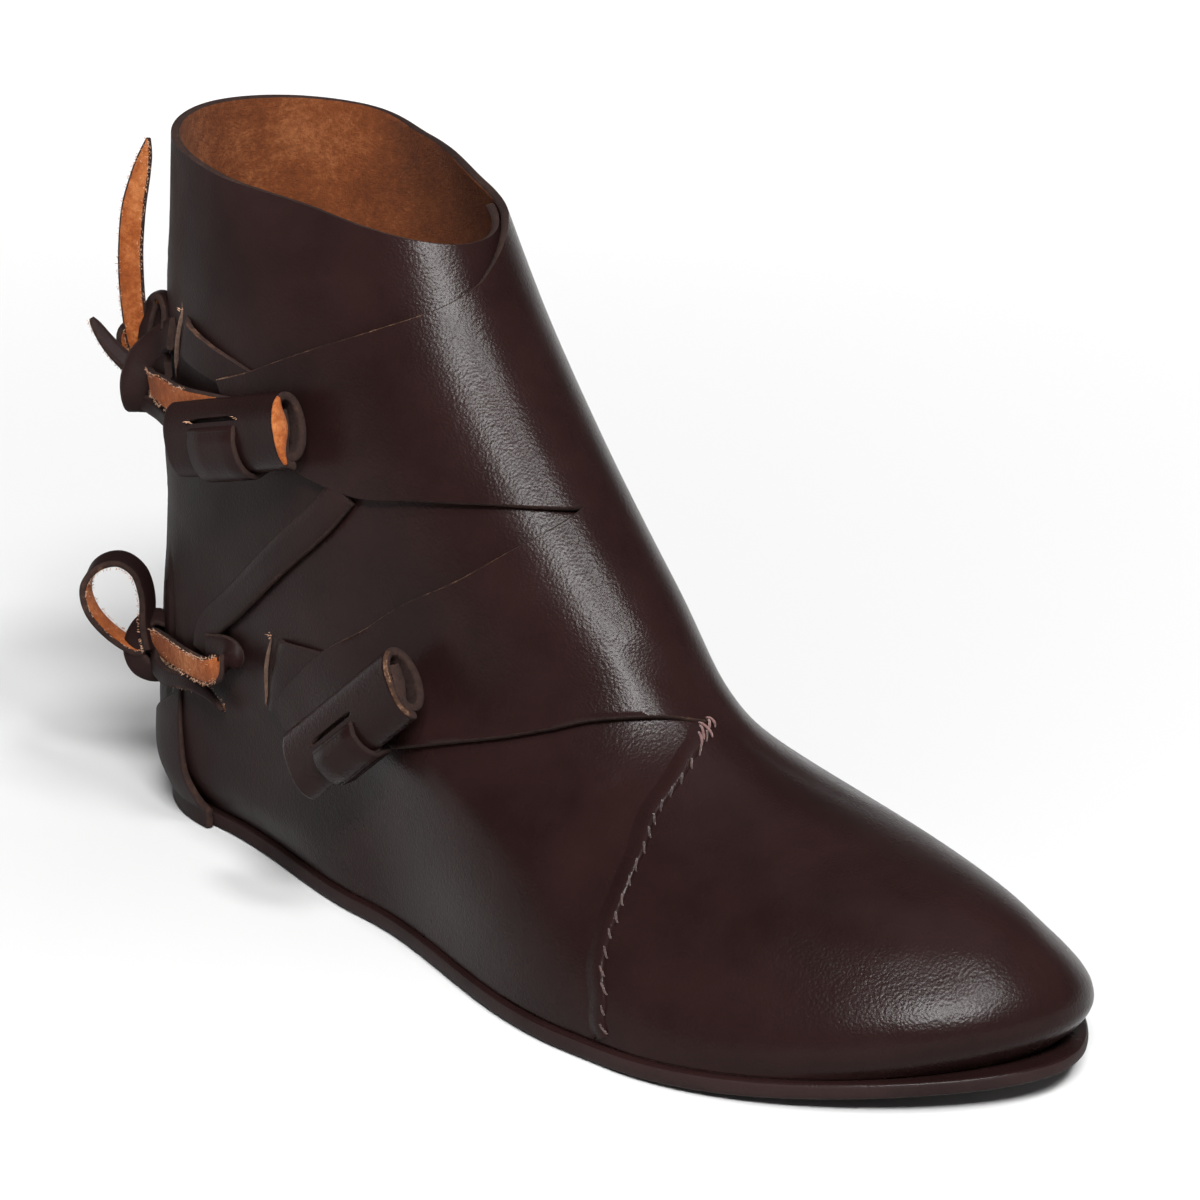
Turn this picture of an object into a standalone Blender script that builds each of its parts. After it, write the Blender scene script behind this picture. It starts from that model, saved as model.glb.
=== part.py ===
"""Ankle toggle shoe for a right foot, in leather.

One wrap-round upper, whose free edge is cut into an ankle flap and an instep flap, a single
sole with a pointed heel riser, two rolled toggles and two knotted thongs.

Lengths are millimetres until make_object. X runs from heel to toe, Y to the inner side of the
foot, and Z up. The origin is on the sole's flat underside, below the waist.
"""

import math
from collections import namedtuple

import bpy
import numpy as np

for old in list(bpy.data.objects):
    bpy.data.objects.remove(old, do_unlink=True)

# Driving sizes
MM = 0.001
LENGTH = 283.0
BALL_WIDTH = 100.0
COLLAR_HEIGHT = 178.5
ORIGIN_X = 140.0
LEATHER = 2.0
GAP = 0.4
LAYER = LEATHER + GAP
SOLE_THICK = 4.2
SOLE_MARGIN = 2.2
SOLE_ROUND = 0.8
TOE_SPRING = 5.0
SPRING_START = 0.68 * LENGTH
TOE_SWING = 15.0
SWING_START = 0.45 * LENGTH
BEND_LIMIT = 1.2
SHARP_DEG = 40.0

# Grid of the upper
COLUMNS = 72
OUTER_ROWS = 22
INNER_ROWS = 14
RIDGE_EDGE = 0.0015

# Where the outer layer rises on the inner side, in u from none to full and in v from none to full
RISE_U = (0.97, 0.60)
RISE_V = (0.47, 0.62)

# The last, from the sole's feather edge up to the collar at equal steps of v. Places along X are
# per cent of the length, heights per cent of the collar height, and half widths per cent of half
# the ball width, outer side (lat) and inner side (med) at heel, waist and ball. The rounds are the
# shares of a section that its ends take, and power squares off the front end.
Section = namedtuple(
    "Section",
    "back_x back_z front_x front_z lat_heel lat_waist lat_ball med_heel med_waist med_ball"
    " back_round front_round front_power",
)
SECTIONS = [
    Section(1.1, 2.5, 98.2, 2.5, 56, 72, 101, 56, 54, 100, 0.13, 0.24, 1.80),
    Section(-0.9, 7.8, 100.7, 7.8, 66, 71, 100, 63, 60, 98, 0.14, 0.33, 2.00),
    Section(-1.4, 14.6, 96.8, 14.6, 67, 70, 94, 65, 64, 92, 0.15, 0.40, 1.90),
    Section(-1.1, 22.4, 90.8, 20.2, 66, 70, 85, 65, 66, 88, 0.17, 0.40, 1.85),
    Section(-0.6, 31.4, 75.6, 25.8, 65, 70, 76, 64, 66, 78, 0.20, 0.46, 1.90),
    Section(-0.1, 41.5, 66.8, 33.3, 65, 70, 68, 64, 66, 67, 0.25, 0.52, 2.00),
    Section(0.4, 53.8, 59.7, 45.9, 67, 70, 66, 65, 66, 66, 0.32, 0.54, 2.00),
    Section(1.6, 68.3, 50.7, 61.6, 68, 70, 65, 67, 68, 66, 0.38, 0.55, 2.00),
    Section(3.0, 84.0, 43.3, 75.6, 69, 69, 60, 71, 69, 64, 0.40, 0.55, 2.00),
    Section(4.8, 100.0, 38.3, 88.2, 67, 65, 50, 77, 67, 58, 0.37, 0.56, 2.00),
]
HEEL_AT, WAIST_AT, BALL_AT = 0.14, 0.39, 0.70

# Flap outlines on the upper's own u and v, from the ridge of the foot (u = 0.5) to the tail
Edge = namedtuple("Edge", "u low high")
ANKLE_FLAP = [
    Edge(0.495, 0.753, 0.953),
    Edge(0.440, 0.755, 0.929),
    Edge(0.385, 0.752, 0.905),
    Edge(0.330, 0.738, 0.873),
    Edge(0.290, 0.731, 0.847),
    Edge(0.255, 0.741, 0.822),
    Edge(0.220, 0.757, 0.797),
]
INSTEP_FLAP = [
    Edge(0.495, 0.568, 0.746),
    Edge(0.445, 0.573, 0.734),
    Edge(0.400, 0.559, 0.712),
    Edge(0.350, 0.515, 0.675),
    Edge(0.305, 0.461, 0.625),
    Edge(0.265, 0.414, 0.562),
    Edge(0.230, 0.378, 0.475),
    Edge(0.200, 0.348, 0.394),
    Edge(0.188, 0.337, 0.369),
]
ANKLE_FLAP_GRID = (24, 8)
INSTEP_FLAP_GRID = (26, 7)

# The raised vamp seam, from the throat down to the sole
Spot = namedtuple("Spot", "u v")
SEAM = [
    Spot(0.485, 0.551),
    Spot(0.452, 0.522),
    Spot(0.410, 0.460),
    Spot(0.373, 0.396),
    Spot(0.350, 0.348),
    Spot(0.338, 0.297),
    Spot(0.330, 0.227),
    Spot(0.325, 0.174),
    Spot(0.324, 0.131),
    Spot(0.325, 0.077),
    Spot(0.330, 0.030),
]
SEAM_WIDTH = 3.2
SEAM_STEPS = 26
SeamSpot = namedtuple("SeamSpot", "across height")
SEAM_PROFILE = [SeamSpot(-1.0, 0.35), SeamSpot(-0.5, 1.0), SeamSpot(0.5, 1.0), SeamSpot(1.0, 0.35)]

# Slits that the thongs come out of, each from its upper to its lower end
SLITS = {
    "ankle": (Spot(0.155, 0.832), Spot(0.120, 0.765)),
    "instep": (Spot(0.209, 0.506), Spot(0.182, 0.365)),
}
SLIT_WIDTH = 1.6
SLIT_DEPTH = 9.0

# Rolled toggles: centre on the upper, lift off it, and rise of the axis towards the toe
Toggle = namedtuple("Toggle", "u v lift rise_deg length")
TOGGLES = {
    "ankle": Toggle(0.242, 0.763, 9.4, 14.0, 38.0),
    "instep": Toggle(0.272, 0.459, 10.0, 41.5, 40.0),
}
ROLL_CORE = 3.2
ROLL_PITCH = 2.3
ROLL_TURNS = 1.75
ROLL_LEATHER = 1.9
ROLL_FLATNESS = 0.7
ROLL_STEPS_PER_TURN = 20
OUTER_WRAP_SHARE = 0.66
OUTER_WRAP_TURN = 0.8
WRAP_STEP_TURN = 0.15

# The heel riser, a point of the sole turned up beside the heel: top edge in v over u
RISER_TOP = [Spot(-0.045, 0.03), Spot(0.03, 0.12), Spot(0.080, 0.21), Spot(0.118, 0.30)]
RISER_COLUMNS = 12
RISER_ROWS = 6
RISER_FOOT = 0.5
RISER_BASE_V = 0.035
RISER_LEAST_V = 0.02

# Thongs: where they show between a slit and its flap, by edges on the upper
THONG_LEATHER = 1.8
ANKLE_STRAP = [
    Edge(0.150, 0.803, 0.826),
    Edge(0.172, 0.803, 0.8255),
    Edge(0.194, 0.8025, 0.824),
    Edge(0.216, 0.8015, 0.821),
    Edge(0.238, 0.8145, 0.818),
]
INSTEP_STRAP = [
    Edge(0.190, 0.380, 0.400),
    Edge(0.200, 0.401, 0.450),
    Edge(0.210, 0.427, 0.500),
    Edge(0.220, 0.454, 0.513),
    Edge(0.230, 0.482, 0.516),
    Edge(0.240, 0.509, 0.519),
]
STRAP_GRID = (14, 4)

# Thongs: routes of the pieces that lie on the upper or hang free
Strip = namedtuple("Strip", "u v lift width")
HEEL_STRAP = [
    Strip(0.283, 0.713, 1.5, 10.0),
    Strip(0.248, 0.661, 1.5, 9.5),
    Strip(0.209, 0.582, 1.5, 9.0),
    Strip(0.171, 0.495, 1.5, 8.0),
    Strip(0.1575, 0.456, 2.0, 7.0),
]
STEPS_PER_ROW = 4
Point = namedtuple("Point", "x y z width")
ANKLE_LEG = [
    Point(18.5, -29.2, 114.0, 6.0),
    Point(30.0, -34.0, 116.3, 6.0),
    Point(42.0, -37.0, 118.3, 5.5),
    Point(54.0, -37.7, 120.0, 4.0),
]
HEEL_LEG = [
    Point(53.5, -39.6, 49.5, 6.0),
    Point(46.0, -40.6, 49.0, 6.0),
    Point(36.0, -38.6, 48.0, 6.0),
    Point(23.0, -34.8, 44.5, 6.0),
    Point(17.0, -32.5, 42.5, 5.5),
]
ANKLE_TAIL = [
    Point(12.2, -29.3, 126.0, 5.5),
    Point(13.4, -30.3, 133.0, 5.5),
    Point(15.4, -31.1, 143.0, 5.5),
    Point(18.7, -31.3, 155.0, 5.0),
    Point(21.4, -30.9, 165.0, 4.0),
    Point(23.3, -30.8, 172.0, 2.0),
]
ANKLE_STUB = [
    Point(6.9, -34.2, 119.8, 4.5),
    Point(6.6, -35.2, 123.4, 4.0),
    Point(5.5, -37.0, 127.6, 2.0),
]
INSTEP_BOW = [
    Point(9.5, -30.5, 47.5, 6.0),
    Point(8.7, -28.6, 54.0, 6.0),
    Point(6.3, -29.4, 61.8, 6.0),
    Point(2.3, -33.1, 63.0, 6.0),
    Point(-1.3, -37.3, 58.2, 6.0),
    Point(-1.0, -37.1, 50.7, 6.0),
    Point(2.4, -34.5, 46.0, 6.0),
]
INSTEP_END = [
    Point(18.5, -33.5, 37.0, 4.0),
    Point(30.0, -37.4, 38.5, 4.0),
    Point(43.0, -37.2, 38.0, 3.5),
    Point(51.5, -37.0, 36.0, 2.0),
]
Knot = namedtuple("Knot", "x y z along across deep lean_deg")
KNOT_RINGS = 9
KNOT_AROUND = 14
KNOT_FULLNESS = 0.6
KNOT_WAIST = 0.12
KNOTS = {
    "ankle": Knot(10.8, -28.4, 113.8, 10.5, 5.2, 4.4, 8.0),
    "instep": Knot(8.2, -31.6, 40.2, 6.6, 5.0, 4.2, -20.0),
}

# Directions that the free strips turn their width to
SIGHT = (0.67, -0.67, 0.30)
HEEL_SIDE = (0.71, 0.71, 0.0)
UP = (0.0, 0.0, 1.0)

# Colours, roughness
GRAIN_BROWN = ((0.028, 0.017, 0.014, 1.0), 0.42)
FLESH_TAN = ((0.30, 0.115, 0.040, 1.0), 0.90)
SOLE_BROWN = ((0.040, 0.022, 0.016, 1.0), 0.60)


def smooth(share):
    """Eased step from 0 to 1."""
    share = np.clip(share, 0.0, 1.0)
    return share * share * (3.0 - 2.0 * share)


def through(rows, place):
    """Catmull-Rom curve through equally spaced rows, at place from 0 to 1."""
    rows = np.asarray(rows, float)
    last = len(rows) - 1
    along = np.clip(np.asarray(place, float), 0.0, 1.0) * last
    start = np.minimum(along.astype(int), last - 1)
    f = (along - start)[..., None]
    before = rows[np.maximum(start - 1, 0)]
    here = rows[start]
    there = rows[start + 1]
    after = rows[np.minimum(start + 2, last)]
    return 0.5 * (
        2 * here
        + (there - before) * f
        + (2 * before - 5 * here + 4 * there - after) * f**2
        + (3 * here - before - 3 * there + after) * f**3
    )


def half_width(t, heel, waist, ball, back_round, front_round, front_power):
    """Half width of a section at t, from 0 at its back to 1 at its front."""
    core = heel + (waist - heel) * smooth((t - HEEL_AT) / (WAIST_AT - HEEL_AT))
    core = core + (ball - waist) * smooth((t - WAIST_AT) / (BALL_AT - WAIST_AT))
    back = np.clip(1.0 - t / back_round, 0.0, 1.0)
    front = np.clip((t - (1.0 - front_round)) / front_round, 0.0, 1.0)
    return core * (1.0 - back**2) ** 0.5 * (1.0 - front**front_power) ** (1.0 / front_power)


def last_surface(u, v):
    """Point of the last: u runs round from the heel by the outer side and toe, v goes up."""
    u = np.mod(np.asarray(u, float), 1.0)
    section = through(SECTIONS, v)
    back_x, back_z, front_x, front_z = np.moveaxis(section[..., 0:4], -1, 0)
    lat = np.moveaxis(section[..., 4:7], -1, 0)
    med = np.moveaxis(section[..., 7:10], -1, 0)
    rounds = np.moveaxis(section[..., 10:13], -1, 0)
    t = (1.0 - np.cos(2.0 * np.pi * u)) / 2.0
    x = (back_x + (front_x - back_x) * t) * LENGTH / 100.0
    z = (back_z + (front_z - back_z) * t) * COLLAR_HEIGHT / 100.0
    wide = np.where(u <= 0.5, -half_width(t, *lat, *rounds), half_width(t, *med, *rounds))
    y = wide * BALL_WIDTH / 200.0
    y = y + TOE_SWING * np.clip((x - SWING_START) / (LENGTH - SWING_START), 0.0, BEND_LIMIT) ** 2
    return np.stack([x, y, z + toe_lift(x)], axis=-1)


def toe_lift(x):
    return TOE_SPRING * np.clip((x - SPRING_START) / (LENGTH - SPRING_START), 0.0, BEND_LIMIT) ** 2


def last_normal(u, v):
    """Outward normal of the last."""
    u, v = np.broadcast_arrays(np.asarray(u, float), np.asarray(v, float))
    tiny = 1e-4
    along = last_surface(u + tiny, v) - last_surface(u - tiny, v)
    up = last_surface(u, np.minimum(v + tiny, 1.0)) - last_surface(u, np.maximum(v - tiny, 0.0))
    return unit(np.cross(along, up))


def unit(vectors):
    vectors = np.asarray(vectors, float)
    return vectors / np.linalg.norm(vectors, axis=-1, keepdims=True)


def on_last(u, v, lift):
    """Point that stands lift off the last."""
    u, v, lift = np.broadcast_arrays(*(np.asarray(a, float) for a in (u, v, lift)))
    return last_surface(u, v) + last_normal(u, v) * lift[..., None]


def layer_rise(u, v):
    """The outer layer leaves the heel on the inner side and is one leather proud at the ridge."""
    around = smooth((u - RISE_U[0]) / (RISE_U[1] - RISE_U[0])) * (u > 0.5)
    return LAYER * around * smooth((v - RISE_V[0]) / (RISE_V[1] - RISE_V[0]))


def make_object(name, points, faces, finish):
    """Closed mesh object from points in millimetres."""
    mesh = bpy.data.meshes.new(name)
    world = (np.asarray(points, float) - (ORIGIN_X, 0.0, 0.0)) * MM
    mesh.from_pydata(world.tolist(), [], faces)
    mesh.validate()
    mesh.shade_smooth()
    mesh.set_sharp_from_angle(angle=math.radians(SHARP_DEG))
    mesh.materials.append(material(name, *finish))
    obj = bpy.data.objects.new(name, mesh)
    bpy.context.scene.collection.objects.link(obj)
    return obj


def material(name, colour, roughness):
    made = bpy.data.materials.new(name)
    made.use_nodes = True
    shader = made.node_tree.nodes["Principled BSDF"]
    shader.inputs["Base Color"].default_value = colour
    shader.inputs["Roughness"].default_value = roughness
    shader.inputs["Metallic"].default_value = 0.0
    return made


def sheet_solid(outer, inner):
    """Points and faces of a closed sheet between two grids of the same size."""
    rows, columns = outer.shape[:2]
    points = np.concatenate([outer.reshape(-1, 3), inner.reshape(-1, 3)])
    back = rows * columns

    def at(i, j, side):
        return i * columns + j + side * back

    faces = []
    for i in range(rows - 1):
        for j in range(columns - 1):
            square = [(i, j), (i + 1, j), (i + 1, j + 1), (i, j + 1)]
            faces.append([at(a, b, 0) for a, b in square])
            faces.append([at(a, b, 1) for a, b in reversed(square)])
    rim = [(i, 0) for i in range(rows)]
    rim += [(rows - 1, j) for j in range(1, columns)]
    rim += [(i, columns - 1) for i in range(rows - 2, -1, -1)]
    rim += [(0, j) for j in range(columns - 2, 0, -1)]
    for a, b in zip(rim, rim[1:] + rim[:1]):
        faces.append([at(*b, 0), at(*a, 0), at(*a, 1), at(*b, 1)])
    return points, faces


def ring_faces(lower, upper, count):
    """Quads between two rings of indices that start at lower and upper."""
    return [
        [lower + k, lower + (k + 1) % count, upper + (k + 1) % count, upper + k]
        for k in range(count)
    ]


def upper_columns():
    """Even columns of u, with the one at the ridge split into the two edges of the step."""
    even = [k / COLUMNS for k in range(COLUMNS) if 2 * k != COLUMNS]
    return np.array(sorted(even + [0.5 - RIDGE_EDGE, 0.5 + RIDGE_EDGE]))


def upper():
    """Hollow wall, open at the collar and underneath."""
    u = upper_columns()
    count = len(u)
    outer_v = np.linspace(0.0, 1.0, OUTER_ROWS)
    inner_v = np.linspace(1.0, 0.0, INNER_ROWS)
    rings = [on_last(u, v, layer_rise(u, v)) for v in outer_v]
    rings += [on_last(u, v, -LEATHER) for v in inner_v]
    for ring in (rings[0], rings[-1]):
        ring[:, 2] = SOLE_THICK + GAP + toe_lift(ring[:, 0])
    faces = []
    for k in range(len(rings)):
        faces += ring_faces(k * count, (k + 1) % len(rings) * count, count)
    made = make_object("upper", np.concatenate(rings), faces, GRAIN_BROWN)
    for name, (top, low) in SLITS.items():
        cut(made, slit_cutter(name + "_slit", top, low))


def slit_cutter(name, top, low):
    """Thin block that stands through the wall along a slit."""
    ends = [on_last(spot.u, spot.v, 0.0) for spot in (top, low)]
    out = unit(last_normal((top.u + low.u) / 2, (top.v + low.v) / 2))
    across = unit(np.cross(ends[1] - ends[0], out)) * SLIT_WIDTH / 2
    corners = [
        end + side * across + depth * out * SLIT_DEPTH / 2
        for depth in (1, -1)
        for end, side in ((ends[0], 1), (ends[0], -1), (ends[1], -1), (ends[1], 1))
    ]
    front, back = np.array(corners[:4]), np.array(corners[4:])
    order = [0, 1, 3, 2]
    points, faces = sheet_solid(front[order].reshape(2, 2, 3), back[order].reshape(2, 2, 3))
    cutter = make_object(name, points, faces, GRAIN_BROWN)
    cutter.hide_render = True
    cutter.display_type = "WIRE"
    return cutter


def cut(obj, cutter):
    modifier = obj.modifiers.new(cutter.name, "BOOLEAN")
    modifier.operation = "DIFFERENCE"
    modifier.object = cutter


def overlay(name, edges, grid, thick):
    """Piece that lies on the upper, between two offsets of the last and its own two edges."""
    lengthwise, across = grid
    table = through(sorted(edges, reverse=True), np.linspace(0.0, 1.0, lengthwise))
    u = np.repeat(table[:, :1], across, axis=1)
    share = np.linspace(0.0, 1.0, across)
    v = table[:, 1:2] + (table[:, 2:3] - table[:, 1:2]) * share
    points, faces = sheet_solid(on_last(u, v, GAP + thick), on_last(u, v, GAP))
    make_object(name, points, [face[::-1] for face in faces], GRAIN_BROWN)


def seam():
    """Raised ridge where the vamp's edge is sewn to the quarter."""
    table = through(SEAM, np.linspace(0.0, 1.0, SEAM_STEPS))
    middle = on_last(table[:, 0], table[:, 1], 0.0)
    out = last_normal(table[:, 0], table[:, 1])
    side = unit(np.cross(out, np.gradient(middle, axis=0))) * SEAM_WIDTH / 2
    outer = [middle + side * p.across + out * (GAP + p.height) for p in SEAM_PROFILE]
    inner = [middle + side * p.across + out * GAP for p in SEAM_PROFILE]
    points, faces = sheet_solid(np.stack(outer, axis=1), np.stack(inner, axis=1))
    make_object("vamp_seam", points, faces, GRAIN_BROWN)


def outsole():
    """Single leather sole with a rounded edge, flat from the heel to the ball."""
    u = np.arange(COLUMNS) / COLUMNS
    feather = last_surface(u, 0.0)
    run = np.roll(feather, -1, axis=0) - np.roll(feather, 1, axis=0)
    out = unit(np.stack([run[:, 1], -run[:, 0], np.zeros(COLUMNS)], axis=1))
    profile = [
        (-SOLE_ROUND, 0.0),
        (0.0, SOLE_ROUND),
        (0.0, SOLE_THICK - SOLE_ROUND),
        (-SOLE_ROUND, SOLE_THICK),
    ]
    rings = []
    for inset, z in profile:
        ring = feather + out * (SOLE_MARGIN + inset)
        ring[:, 2] = z + toe_lift(ring[:, 0])
        rings.append(ring)
    faces = []
    for k in range(len(rings) - 1):
        faces += ring_faces(k * COLUMNS, (k + 1) * COLUMNS, COLUMNS)
    top = (len(rings) - 1) * COLUMNS
    half = COLUMNS // 2
    for k in range(half):
        across = [k, k + 1, (COLUMNS - k - 1) % COLUMNS, (COLUMNS - k) % COLUMNS]
        across = list(dict.fromkeys(across))
        faces.append([top + i for i in across])
        faces.append(across[::-1])
    make_object("outsole", np.concatenate(rings), faces, SOLE_BROWN)


def heel_riser():
    """Pointed end of the sole, turned up against the outer side of the heel."""
    table = through(RISER_TOP, np.linspace(0.0, 1.0, RISER_COLUMNS))
    u, top = table[:, 0], table[:, 1]
    level = last_surface(u, 0.0)
    out = unit(last_normal(u, RISER_BASE_V) * (1.0, 1.0, 0.0))
    inner, outer = [], []
    for z in (RISER_FOOT, SOLE_THICK + GAP):
        foot = level + out * (SOLE_MARGIN + GAP)
        foot[:, 2] = z
        inner.append(foot)
        outer.append(foot + out * LEATHER)
    for share in np.linspace(0.0, 1.0, RISER_ROWS)[1:]:
        v = np.maximum(RISER_BASE_V + (top - RISER_BASE_V) * share, RISER_LEAST_V)
        hug = GAP + (SOLE_MARGIN - GAP) * (1.0 - share) ** 2
        inner.append(on_last(u, v, hug))
        outer.append(on_last(u, v, hug + LEATHER))
    points, faces = sheet_solid(np.stack(outer, axis=1), np.stack(inner, axis=1))
    make_object("heel_riser", points, faces, SOLE_BROWN)


def toggle(name, place):
    """Strip of leather rolled up, its outer wrap shorter than its core."""
    centre = on_last(place.u, place.v, place.lift)
    out = last_normal(place.u, place.v)
    level = unit(np.array([1.0, 0.0, 0.0]) - out * out[0])
    rise = math.radians(place.rise_deg)
    up = unit(np.cross(level, out))
    up = up if up[2] > 0 else -up
    axis = level * math.cos(rise) + up * math.sin(rise)
    across = up * math.cos(rise) - level * math.sin(rise)
    steps = int(ROLL_TURNS * ROLL_STEPS_PER_TURN) + 1
    turn = np.linspace(0.0, ROLL_TURNS, steps)
    angle = 2.0 * np.pi * (turn - ROLL_TURNS) - 0.5 * np.pi
    spoke = np.cos(angle)[:, None] * across + np.sin(angle)[:, None] * out * ROLL_FLATNESS
    radius = (ROLL_CORE + ROLL_PITCH * turn)[:, None]
    wrapped = smooth((turn - (ROLL_TURNS - OUTER_WRAP_TURN)) / WRAP_STEP_TURN)
    far = place.length * (0.5 - (1.0 - OUTER_WRAP_SHARE) * wrapped)
    near = np.full(steps, -place.length / 2)
    ends = [near, far]
    inner = np.stack([centre + spoke * radius + axis * e[:, None] for e in ends], axis=1)
    thick = spoke * (radius + ROLL_LEATHER)
    outer = np.stack([centre + thick + axis * e[:, None] for e in ends], axis=1)
    points, faces = sheet_solid(outer, inner)
    make_object(name, points, faces, GRAIN_BROWN)


def strip_solid(name, middle, side, width, finish):
    """Flat thong along middle, its width turned to side."""
    run = unit(np.gradient(middle, axis=0))
    side = np.broadcast_to(np.asarray(side, float), middle.shape)
    side = unit(side - run * np.sum(side * run, axis=1, keepdims=True))
    out = np.cross(side, run)
    half = side * width[:, None] / 2
    lift = out * THONG_LEATHER / 2
    outer = np.stack([middle - half + lift, middle + half + lift], axis=1)
    inner = np.stack([middle - half - lift, middle + half - lift], axis=1)
    points, faces = sheet_solid(outer, inner)
    make_object(name, points, [face[::-1] for face in faces], finish)


def laid_strip(name, route):
    """Thong that lies on the upper."""
    table = through(route, np.linspace(0.0, 1.0, STEPS_PER_ROW * len(route)))
    u, v, lift, width = table.T
    middle = on_last(u, v, lift)
    side = np.cross(last_normal(u, v), np.gradient(middle, axis=0))
    strip_solid(name, middle, side, width, GRAIN_BROWN)


def free_strip(name, route, side, finish):
    """Thong that hangs or stands clear of the upper."""
    table = through(route, np.linspace(0.0, 1.0, STEPS_PER_ROW * len(route)))
    strip_solid(name, table[:, :3], side, table[:, 3], finish)


def knot(name, place):
    """Pulled-tight turn of thong: a rounded lump with a waist where the turns cross."""
    lean = math.radians(place.lean_deg)
    side = unit(np.array(HEEL_SIDE))
    out = unit(np.array([SIGHT[0], SIGHT[1], 0.0]))
    long_way = np.array(UP) * math.cos(lean) + side * math.sin(lean)
    cross_way = side * math.cos(lean) - np.array(UP) * math.sin(lean)
    points = []
    for i in range(KNOT_RINGS):
        polar = math.pi * (i + 0.5) / KNOT_RINGS
        reach = math.sin(polar) ** KNOT_FULLNESS * (1.0 - KNOT_WAIST * math.cos(2.0 * polar))
        for k in range(KNOT_AROUND):
            angle = 2.0 * math.pi * k / KNOT_AROUND
            flat = cross_way * math.cos(angle) * place.across + out * math.sin(angle) * place.deep
            points.append(long_way * math.cos(polar) * place.along + flat * reach)
    faces = []
    for i in range(KNOT_RINGS - 1):
        faces += ring_faces(i * KNOT_AROUND, (i + 1) * KNOT_AROUND, KNOT_AROUND)
    faces.append(list(range(KNOT_AROUND))[::-1])
    faces.append(list(range((KNOT_RINGS - 1) * KNOT_AROUND, KNOT_RINGS * KNOT_AROUND)))
    make_object(name, np.array(points) + (place.x, place.y, place.z), faces, GRAIN_BROWN)


def main():
    outsole()
    heel_riser()
    upper()
    overlay("ankle_flap", ANKLE_FLAP, ANKLE_FLAP_GRID, LEATHER)
    overlay("instep_flap", INSTEP_FLAP, INSTEP_FLAP_GRID, LEATHER)
    overlay("ankle_strap", ANKLE_STRAP, STRAP_GRID, THONG_LEATHER)
    overlay("instep_strap", INSTEP_STRAP, STRAP_GRID, THONG_LEATHER)
    seam()
    for name, place in TOGGLES.items():
        toggle(name + "_toggle", place)
    for name, place in KNOTS.items():
        knot(name + "_knot", place)
    laid_strip("heel_strap", HEEL_STRAP)
    free_strip("ankle_leg", ANKLE_LEG, UP, FLESH_TAN)
    free_strip("heel_leg", HEEL_LEG, UP, FLESH_TAN)
    free_strip("ankle_tail", ANKLE_TAIL, HEEL_SIDE, FLESH_TAN)
    free_strip("ankle_stub", ANKLE_STUB, HEEL_SIDE, GRAIN_BROWN)
    free_strip("instep_bow", INSTEP_BOW, SIGHT, GRAIN_BROWN)
    free_strip("instep_end", INSTEP_END, UP, GRAIN_BROWN)


main()
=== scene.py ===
"""Scene of the ankle toggle shoe: leather, thongs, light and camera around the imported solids.

Lengths are millimetres in the shoe's own frame until world(): X from the back of the heel to the
toe, Y to the inner side of the foot, Z up.
"""

import math
from collections import namedtuple

import bpy
import numpy as np
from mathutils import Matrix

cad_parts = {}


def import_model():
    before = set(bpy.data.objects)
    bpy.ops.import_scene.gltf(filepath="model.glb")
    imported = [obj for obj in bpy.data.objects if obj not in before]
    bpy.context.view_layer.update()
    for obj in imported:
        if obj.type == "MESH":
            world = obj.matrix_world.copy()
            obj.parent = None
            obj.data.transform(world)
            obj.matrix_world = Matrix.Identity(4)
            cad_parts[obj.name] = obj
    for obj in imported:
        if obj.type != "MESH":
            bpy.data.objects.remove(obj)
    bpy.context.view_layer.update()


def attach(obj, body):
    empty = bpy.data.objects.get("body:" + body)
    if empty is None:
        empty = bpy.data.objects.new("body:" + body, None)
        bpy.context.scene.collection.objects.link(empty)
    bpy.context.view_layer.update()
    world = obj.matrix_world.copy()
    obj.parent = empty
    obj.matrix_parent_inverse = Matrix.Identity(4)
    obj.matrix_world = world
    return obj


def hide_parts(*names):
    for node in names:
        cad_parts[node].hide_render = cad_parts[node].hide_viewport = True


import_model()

# Sizes that the solids have too
MM = 0.001
LENGTH = 283.0
BALL_WIDTH = 100.0
COLLAR_HEIGHT = 178.5
ORIGIN_X = 140.0
LEATHER = 2.0
GAP = 0.4
LAYER = LEATHER + GAP
SOLE_THICK = 4.2
TOE_SPRING = 5.0
SPRING_START = 0.68 * LENGTH
TOE_SWING = 15.0
SWING_START = 0.45 * LENGTH
BEND_LIMIT = 1.2
HEEL_AT, WAIST_AT, BALL_AT = 0.14, 0.39, 0.7


def named(kind, table):
    """Named rows of a table."""
    return [kind(*row) for row in table]


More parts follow.
